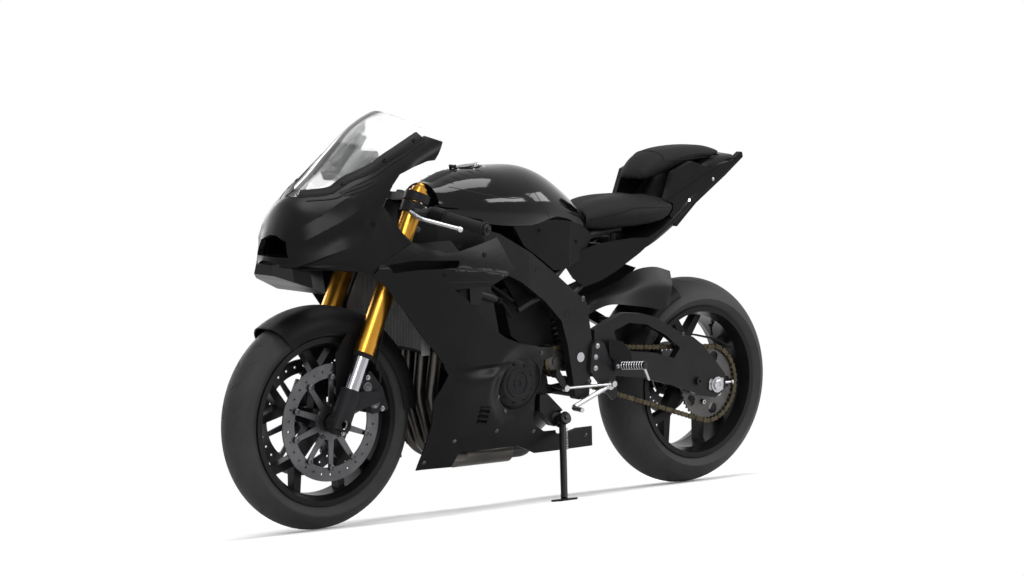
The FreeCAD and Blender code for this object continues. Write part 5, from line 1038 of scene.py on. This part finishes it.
def on_core(mesh, places, lift, radius, sides, count):
    """A tube over the radiator's front through (y, z) places."""
    line = drape(("radiator",), [(1.4, y, z) for y, z in places], -AHEAD)
    tube(mesh, [point + AHEAD * lift for point in line], radius, sides, count)


def radiator_details():
    with Piece("radiator_fins", "radiator_core") as mesh:
        for number in range(46):
            z = CORE_LOW + FIN_GAP * number
            on_core(mesh, [(y, z) for y in evenly(-CORE_HALF, CORE_HALF, 18)], 0.0002, 0.0008, 4, 19)
    with Piece("radiator_tubes", "radiator_core") as mesh:
        for y in evenly(-0.149, 0.149, 23):
            on_core(mesh, [(y, z) for z in evenly(0.480, 0.685, 3)], 0.0006, 0.0012, 5, 4)
    with Piece("radiator_frame", "black_plastic") as mesh:
        for z in (0.478, 0.689):
            on_core(mesh, [(y, z) for y in evenly(-0.162, 0.162, 14)], 0.0, 0.0045, 8, 24)


def engine_details():
    for name, node, centre, radius, sign in (("generator_bolts", "generator_cover", (0.815, 0.378), 0.054, 1),
                                             ("clutch_bolts", "clutch_cover", (0.78, 0.36), 0.048, -1)):
        with Piece(name, "dark_casting") as mesh:
            places = spots(Vector((centre[0], 0, centre[1])), radius, [number / 9 for number in range(9)])
            seat(mesh, (node,), places, sign, bolt, 0.0042, 0.004)
    with Piece("generator_rib", "dark_casting") as mesh:
        place, _ = on_side(("generator_cover",), *COVER_AT)
        torus(mesh, place + LEFT * 0.0004, LEFT, 0.036, 0.0022, 48)
        torus(mesh, place + LEFT * 0.0004, LEFT, 0.012, 0.0016)
    with Piece("coolant_hoses", "black_rubber") as mesh:
        for _, sign in SIDES:
            tube(mesh, to_side(HOSE, sign), 0.014, 16, 30)
            for (x, y, z), way in HOSE_CLIPS:
                torus(mesh, Vector((x, y * sign, z)), Vector(way), 0.0145, 0.0018, 24, 6)
    with Piece("throttle_bodies", "dark_casting") as mesh:
        for y in THROTTLE_SIDES:
            lathe(mesh, Vector((0.90, y, 0.655)), Vector((0.12, 0, 1)), THROTTLE, 24)
        rod(mesh, (0.935, -0.098, 0.690), (0.935, 0.098, 0.690), 0.006, 14)
        rod(mesh, (0.868, -0.098, 0.702), (0.868, 0.098, 0.702), 0.0045, 12)
    with Piece("injectors", "silver_lever") as mesh:
        for y in THROTTLE_SIDES:
            rod(mesh, (0.935, y, 0.690), (0.915, y, 0.668), 0.005, 12)
            rod(mesh, (0.935, y, 0.690), (0.942, y, 0.706), 0.0042, 12)
    with Piece("wiring", "black_rubber") as mesh:
        for line in WIRES:
            for _, sign in SIDES:
                tube(mesh, to_side(line, sign), 0.0042, 8, 40)


def frame_details():
    for side, sign in SIDES:
        with Piece("frame_plugs_" + side, "black_rubber", slot="black_plastic") as mesh:
            for x, z, radius in ((0.603, 0.560, 0.011), (0.97, 0.765, 0.009), (0.72, 0.69, 0.008)):
                plug = [(0, -0.0005), (radius, -0.0005), (radius * 0.92, 0.0012), (radius * 0.6, 0.0004),
                        (0, 0.0004)]
                seat(mesh, ("main_frame",), [(x, z)], sign, lathe, plug, 24, flat=False)


# Swingarm, controls and stand

ADJUSTER = [(-0.028, 0.297), (0.026, 0.299), (0.031, 0.305), (0.031, 0.327), (0.026, 0.333), (-0.028, 0.333)]
HEEL_GUARD = [(0.455, 0.475), (0.40, 0.470), (0.365, 0.435), (0.36, 0.40), (0.385, 0.385), (0.42, 0.405),
              (0.45, 0.43)]
SHIFT_ARM = [(0.592, 0.352), (0.608, 0.352), (0.640, 0.392), (0.632, 0.400), (0.618, 0.398), (0.594, 0.362)]
SHIFT_ENDS = Vector((0.445, 0.174, 0.350)), Vector((0.60, 0.142, 0.345))
SHOCK_TOP, SHOCK_FOOT = Vector((0.562, 0.0, 0.585)), Vector((0.44, 0.0, 0.335))
STAND_PIVOT, STAND_FOOT = Vector((0.605, 0.135, 0.255)), Vector((0.69, 0.245, 0.044))


def swingarm_details():
    for side, sign in SIDES:
        with Piece("axle_adjuster_" + side, "silver_lever") as mesh:
            place, _ = on_side(("swingarm",), 0.0, 0.345, sign)
            prism(mesh, ADJUSTER, place.y - 0.001 * sign, place.y + 0.005 * sign)
        with Piece("axle_end_" + side, "silver_lever") as mesh:
            place, _ = on_side(("rear_axle",), REAR_AXLE.x, REAR_AXLE.z, sign)
            nut(mesh, place - LEFT * sign * 0.001, LEFT * sign, 0.0155, 0.006)
        with Piece("adjuster_screws_" + side, "silver_lever") as mesh:
            place, _ = on_side(("swingarm",), -0.02, 0.33, sign)
            y = place.y - sign * 0.016
            rod(mesh, (-0.085, y, REAR_AXLE.z), (-0.03, y, REAR_AXLE.z), 0.004, 12)
            nut(mesh, Vector((-0.082, y, REAR_AXLE.z)), -AHEAD, 0.0065, 0.006)
    with Piece("shock_spring", "header_steel") as mesh:
        way = (SHOCK_FOOT - SHOCK_TOP).normalized()
        coil(mesh, SHOCK_TOP + way * 0.06, way, across(way)[0], 0.0335, 0.145, 8, 16, 0.0052, 8)


def control_details():
    for side, sign in SIDES:
        with Piece("peg_ribs_" + side, "silver_lever") as mesh:
            start, end = Vector((0.42, 0.178 * sign, 0.402)), Vector((0.4, 0.262 * sign, 0.41))
            for number in range(9):
                torus(mesh, start + (end - start) * (0.1 + 0.1 * number), end - start, 0.0112, 0.0012, 20, 6)
        with Piece("peg_feeler_" + side, "silver_lever") as mesh:
            rod(mesh, (0.401, 0.256 * sign, 0.402), (0.386, 0.262 * sign, 0.366), 0.0042, 12, 0.0034)
        with Piece("heel_guard_" + side, "black_plastic") as mesh:
            prism(mesh, HEEL_GUARD, 0.1595 * sign, 0.1625 * sign)
    with Piece("shift_rod", "silver_lever") as mesh:
        rod(mesh, *SHIFT_ENDS, 0.0042, 12)
        for at in SHIFT_ENDS:
            rod(mesh, at - LEFT * 0.007, at + LEFT * 0.007, 0.009, 18)
    with Piece("shift_arm", "black_frame") as mesh:
        prism(mesh, SHIFT_ARM, 0.128, 0.135)
        rod(mesh, (0.628, 0.10, 0.39), (0.628, 0.140, 0.39), 0.008, 16)
    with Piece("stand_spring", "silver_lever", "side_stand") as mesh:
        way = (STAND_FOOT - STAND_PIVOT).normalized()
        side = way.cross(LEFT).normalized()
        coil(mesh, STAND_PIVOT + way * 0.02 - side * 0.015, way, side, 0.004, 0.07, 14, 10, 0.0010, 5)


# Tail

UNDER_SEAT = [(0.580, 0.690), (0.550, 0.655), (0.506, 0.629), (0.440, 0.645), (0.375, 0.673), (0.289, 0.719),
              (0.225, 0.762), (0.319, 0.764), (0.452, 0.752), (0.520, 0.735)]
DECK_RIDGE = ((0.50, 0.572), (0.46, 0.598), (0.42, 0.612), (0.34, 0.637), (0.27, 0.666), (0.195, 0.672),
              (0.13, 0.657))
DECK_FOOT = ((0.50, 0.548), (0.45, 0.566), (0.40, 0.574), (0.33, 0.567), (0.26, 0.558), (0.20, 0.548),
             (0.172, 0.562))


def tail_details():
    for side, sign in SIDES:
        with Piece("under_seat_panel_" + side, "satin_panel") as mesh:
            prism(mesh, UNDER_SEAT, 0.108 * sign, 0.111 * sign)
        with Piece("hugger_deck_" + side, "satin_panel") as mesh:
            ridge, foot = side_line(DECK_RIDGE, 0.072 * sign, 40), side_line(DECK_FOOT, 0.121 * sign, 40)
            grid = []
            for share in evenly(0.0, 1.0, 8):
                swell = LEFT * sign * 0.012 * (1 - abs(2 * share - 0.8))
                grid.append([high + (low - high) * share + swell for high, low in zip(ridge, foot)])
            shell(mesh, grid, PANEL_WALL)
    with Piece("lamp_recess", "black_plastic") as mesh:
        for row in range(7):
            x, z = -0.122 + 0.006 * row, 0.992 - 0.004 * row
            tube(mesh, [(x, -0.045, z), (x - 0.002, 0.0, z + 0.001), (x, 0.045, z)], 0.0018, 6, 9)


# Soft pieces

FOAM_VOXEL, COVER_SHRINK, COVER_PRESSURE, COVER_SWELL = 0.005, 0.0015, 2.0, 0.003
SEAM_DEPTH, SEAM_HALF, SEAM_LIFT = 0.0022, 0.006, 0.0004
ABOVE_PAD, BESIDE_PAD = 1.2, 0.4
SETTLE_FRAMES = 15


def modified(item, kind, **settings):
    """Applies one modifier to the active object."""
    modifier = item.modifiers.new(kind, kind)
    for name, value in settings.items():
        setattr(modifier, name, value)
    bpy.ops.object.modifier_apply(modifier=kind)


def settle(item):
    """Blows the cover up from inside, as foam fills it."""
    settings = item.modifiers.new("cloth", "CLOTH").settings
    settings.use_pressure = True
    settings.uniform_pressure_force = COVER_PRESSURE
    settings.effector_weights.gravity = 0
    for number in range(1, SETTLE_FRAMES + 1):
        bpy.context.scene.frame_set(number)
    bpy.ops.object.modifier_apply(modifier="cloth")
    bpy.context.scene.frame_set(1)


def cushion(name, node, seams):
    """A foam pad under its cover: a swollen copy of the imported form, then its sewn channels."""
    item = bpy.data.objects.new(name, frame["nodes"][node].data.copy())
    bpy.context.scene.collection.objects.link(item)
    bpy.context.view_layer.objects.active = item
    for other in bpy.context.selected_objects:
        other.select_set(False)
    item.select_set(True)
    modified(item, "REMESH", mode="VOXEL", voxel_size=FOAM_VOXEL)
    modified(item, "SMOOTH", iterations=12)
    for vert in item.data.vertices:
        vert.co = vert.co - vert.normal * COVER_SHRINK
    start = [vert.co.copy() for vert in item.data.vertices]
    settle(item)
    data = item.data
    for vert, place in zip(data.vertices, start):
        move = vert.co - place
        if move.length > COVER_SWELL:
            vert.co = place + move.normalized() * COVER_SWELL
    places = [UPRIGHT @ vert.co for vert in data.vertices]
    TREES[(name,)] = BVHTree.FromPolygons(places, [list(face.vertices) for face in data.polygons])
    for vert, place in zip(data.vertices, places):
        deep = 0.0
        for a, b in seams:
            share = max(0.0, min(1.0, (place - a).dot(b - a) / (b - a).length_squared))
            gap = (place - a - (b - a) * share).length
            deep = max(deep, SEAM_DEPTH * math.exp(-(gap / SEAM_HALF) ** 2))
        vert.co = vert.co - vert.normal * deep
    modified(item, "SUBSURF", levels=1, render_levels=1)
    item.data.materials.clear()
    item.data.materials.append(LOOKS["seat_cover"])
    item.data.shade_smooth()
    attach(item, "chassis")
    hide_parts(node)
    MADE[name] = item


def seam(mesh, name, origins, way, radius, count):
    tube(mesh, drape((name,), origins, way, SEAM_LIFT), radius, 6, count)


def seats():
    ends = Vector((0.175, -0.115, 0.868)), Vector((0.175, 0.0, 0.876)), Vector((0.175, 0.115, 0.868))
    name = "rider_seat_cover"
    cushion(name, "rider_seat", (ends[:2], ends[1:]))
    with Piece("rider_seat_seams", "seat_cover") as mesh:
        for _, sign in SIDES:
            seam(mesh, name, [(0.185 + 0.29 * step / 30, BESIDE_PAD * sign,
                               0.853 - 0.035 * max(0, step - 15) / 15)
                              for step in range(31)], LEFT * -sign, 0.0014, 90)
        seam(mesh, name, [(0.225, y, ABOVE_PAD) for y in evenly(-0.125, 0.125, 24)], -UP, 0.0012, 60)
    name = "pillion_pad_cover"
    cushion(name, "pillion_pad", ())
    with Piece("pillion_pad_seams", "seat_cover") as mesh:
        seam(mesh, name, [(0.158, 0.085 * math.cos(math.pi * step / 24), ABOVE_PAD)
                          for step in range(25)], -UP, 0.0014, 60)
        for _, sign in SIDES:
            seam(mesh, name, [(-0.06 + 0.21 * step / 24, BESIDE_PAD * sign, 0.997 - 0.012 * step / 24)
                              for step in range(25)], LEFT * -sign, 0.0012, 70)


for wheel, sizes in TYRES.items():
    tyre(wheel, *sizes)
wheel_details()
chain_links()
fork_details()
bar_details()
caliper_details()
body_panels()
trim()
intake()
tank_details()
radiator_details()
engine_details()
frame_details()
swingarm_details()
control_details()
tail_details()
seats()


# Stage

WHITE = (1, 1, 1, 1)


def stage_floor():
    """A pale floor that keeps the shadow near the machine and fades into the white studio."""
    bpy.ops.mesh.primitive_plane_add(size=160.0, location=(0, 0, 0))
    floor = bpy.context.object
    floor.name = "floor"
    mat = bpy.data.materials.new("floor")
    nodes, links = shading(mat)
    shader = nodes["Principled BSDF"]
    shader.inputs["Base Color"].default_value = (0.9, 0.9, 0.9, 1)
    shader.inputs["Roughness"].default_value = 0.9
    shader.inputs["Specular IOR Level"].default_value = 0.1
    place = nodes.new("ShaderNodeTexCoord")
    spread = put(nodes, "VectorMath", operation="LENGTH")
    links.new(place.outputs["Object"], spread.inputs[0])
    fade = put(nodes, "MapRange", {"From Min": 1.3, "From Max": 2.6})
    links.new(spread.outputs["Value"], fade.inputs["Value"])
    white = put(nodes, "Emission", {"Color": WHITE, "Strength": 1.0})
    amount = put(nodes, "Math", operation="MULTIPLY")
    links.new(fade.outputs["Result"], amount.inputs[0])
    links.new(seen_rays(nodes, links), amount.inputs[1])
    blend(nodes, links, amount.outputs[0], shader.outputs["BSDF"], white.outputs["Emission"],
          nodes["Material Output"])
    floor.data.materials.append(mat)


def blend(nodes, links, factor, first, second, output):
    """Sends a mix of two shaders to an output."""
    mix = nodes.new("ShaderNodeMixShader")
    links.new(factor, mix.inputs["Fac"])
    links.new(first, mix.inputs[1])
    links.new(second, mix.inputs[2])
    links.new(mix.outputs["Shader"], output.inputs["Surface"])


def seen_rays(nodes, links):
    """One for the camera's rays and for those seen in metal or through glass."""
    path = nodes.new("ShaderNodeLightPath")
    total = path.outputs["Is Camera Ray"]
    for name in ("Is Glossy Ray", "Is Transmission Ray"):
        more = put(nodes, "Math", operation="MAXIMUM")
        links.new(total, more.inputs[0])
        links.new(path.outputs[name], more.inputs[1])
        total = more.outputs[0]
    return total


def stage_world():
    """Dim light from all round behind a white background."""
    world = bpy.data.worlds.new("studio")
    bpy.context.scene.world = world
    nodes, links = shading(world)
    lit = nodes["Background"]
    lit.inputs["Color"].default_value = WHITE
    lit.inputs["Strength"].default_value = 0.38
    seen = put(nodes, "Background", {"Color": WHITE, "Strength": 1.0})
    blend(nodes, links, seen_rays(nodes, links), lit.outputs["Background"], seen.outputs["Background"],
          nodes["World Output"])


def lamp(name, place, target, size, power):
    data = bpy.data.lights.new(name, "AREA")
    data.shape = "RECTANGLE"
    data.size, data.size_y = size
    data.energy = power
    item = bpy.data.objects.new(name, data)
    item.location = place
    item.rotation_euler = (Vector(target) - Vector(place)).to_track_quat("-Z", "Y").to_euler()
    bpy.context.scene.collection.objects.link(item)


def stage_lamps():
    lamp("top_box", (0.2, 0.5, 3.4), (0, 0, 0.6), (3.0, 1.2), 105)
    lamp("key_box", (3.4, 3.0, 2.3), (0.2, 0, 0.6), (1.8, 1.2), 95)
    lamp("side_box", (-2.4, 4.2, 2.3), (0.5, 0, 0.6), (2.6, 0.9), 120)
    lamp("back_box", (-3.4, 1.6, 2.2), (-0.2, 0, 0.7), (1.4, 1.2), 45)
    lamp("far_box", (0.5, -3.6, 2.2), (0, 0, 0.6), (3.0, 1.2), 60)


# The photograph's view in the upright frame, with its focal length and width in pixels.
VIEW_FROM, VIEW_AT = Vector((5.5178, 5.6900, 0.9194)), Vector((0.6855, 0.0, 0.6256))
VIEW_ROLL, VIEW_FALL = math.radians(0.794), math.radians(-3.0)
FOCAL, WIDTH, SENSOR = 2608.2, 1024.0, 36.0


def stage_camera():
    """The photograph's viewing angle on the machine, kept just above the floor."""
    data = bpy.data.cameras.new("camera")
    data.sensor_width = SENSOR
    data.lens = SENSOR * FOCAL / WIDTH
    data.clip_end = 200.0
    item = bpy.data.objects.new("camera", data)
    bpy.context.scene.collection.objects.link(item)
    back = (VIEW_FROM - VIEW_AT).normalized()
    right = UP.cross(back).normalized()
    upward = back.cross(right)
    right, upward = (right * math.cos(VIEW_ROLL) + upward * math.sin(VIEW_ROLL),
                     upward * math.cos(VIEW_ROLL) - right * math.sin(VIEW_ROLL))
    turn = PARK.to_3x3() @ Matrix((right, upward, back)).transposed()
    view = turn.col[2]
    turn = Matrix.Rotation(math.asin(view.z) - VIEW_FALL, 3, UP.cross(view).normalized()) @ turn
    distance = (VIEW_FROM - VIEW_AT).length
    item.matrix_world = Matrix.Translation(PARK @ VIEW_AT + turn.col[2] * distance) @ turn.to_4x4()
    bpy.context.scene.camera = item


stage_floor()
stage_world()
stage_lamps()
stage_camera()
bpy.context.scene.view_settings.view_transform = "Standard"
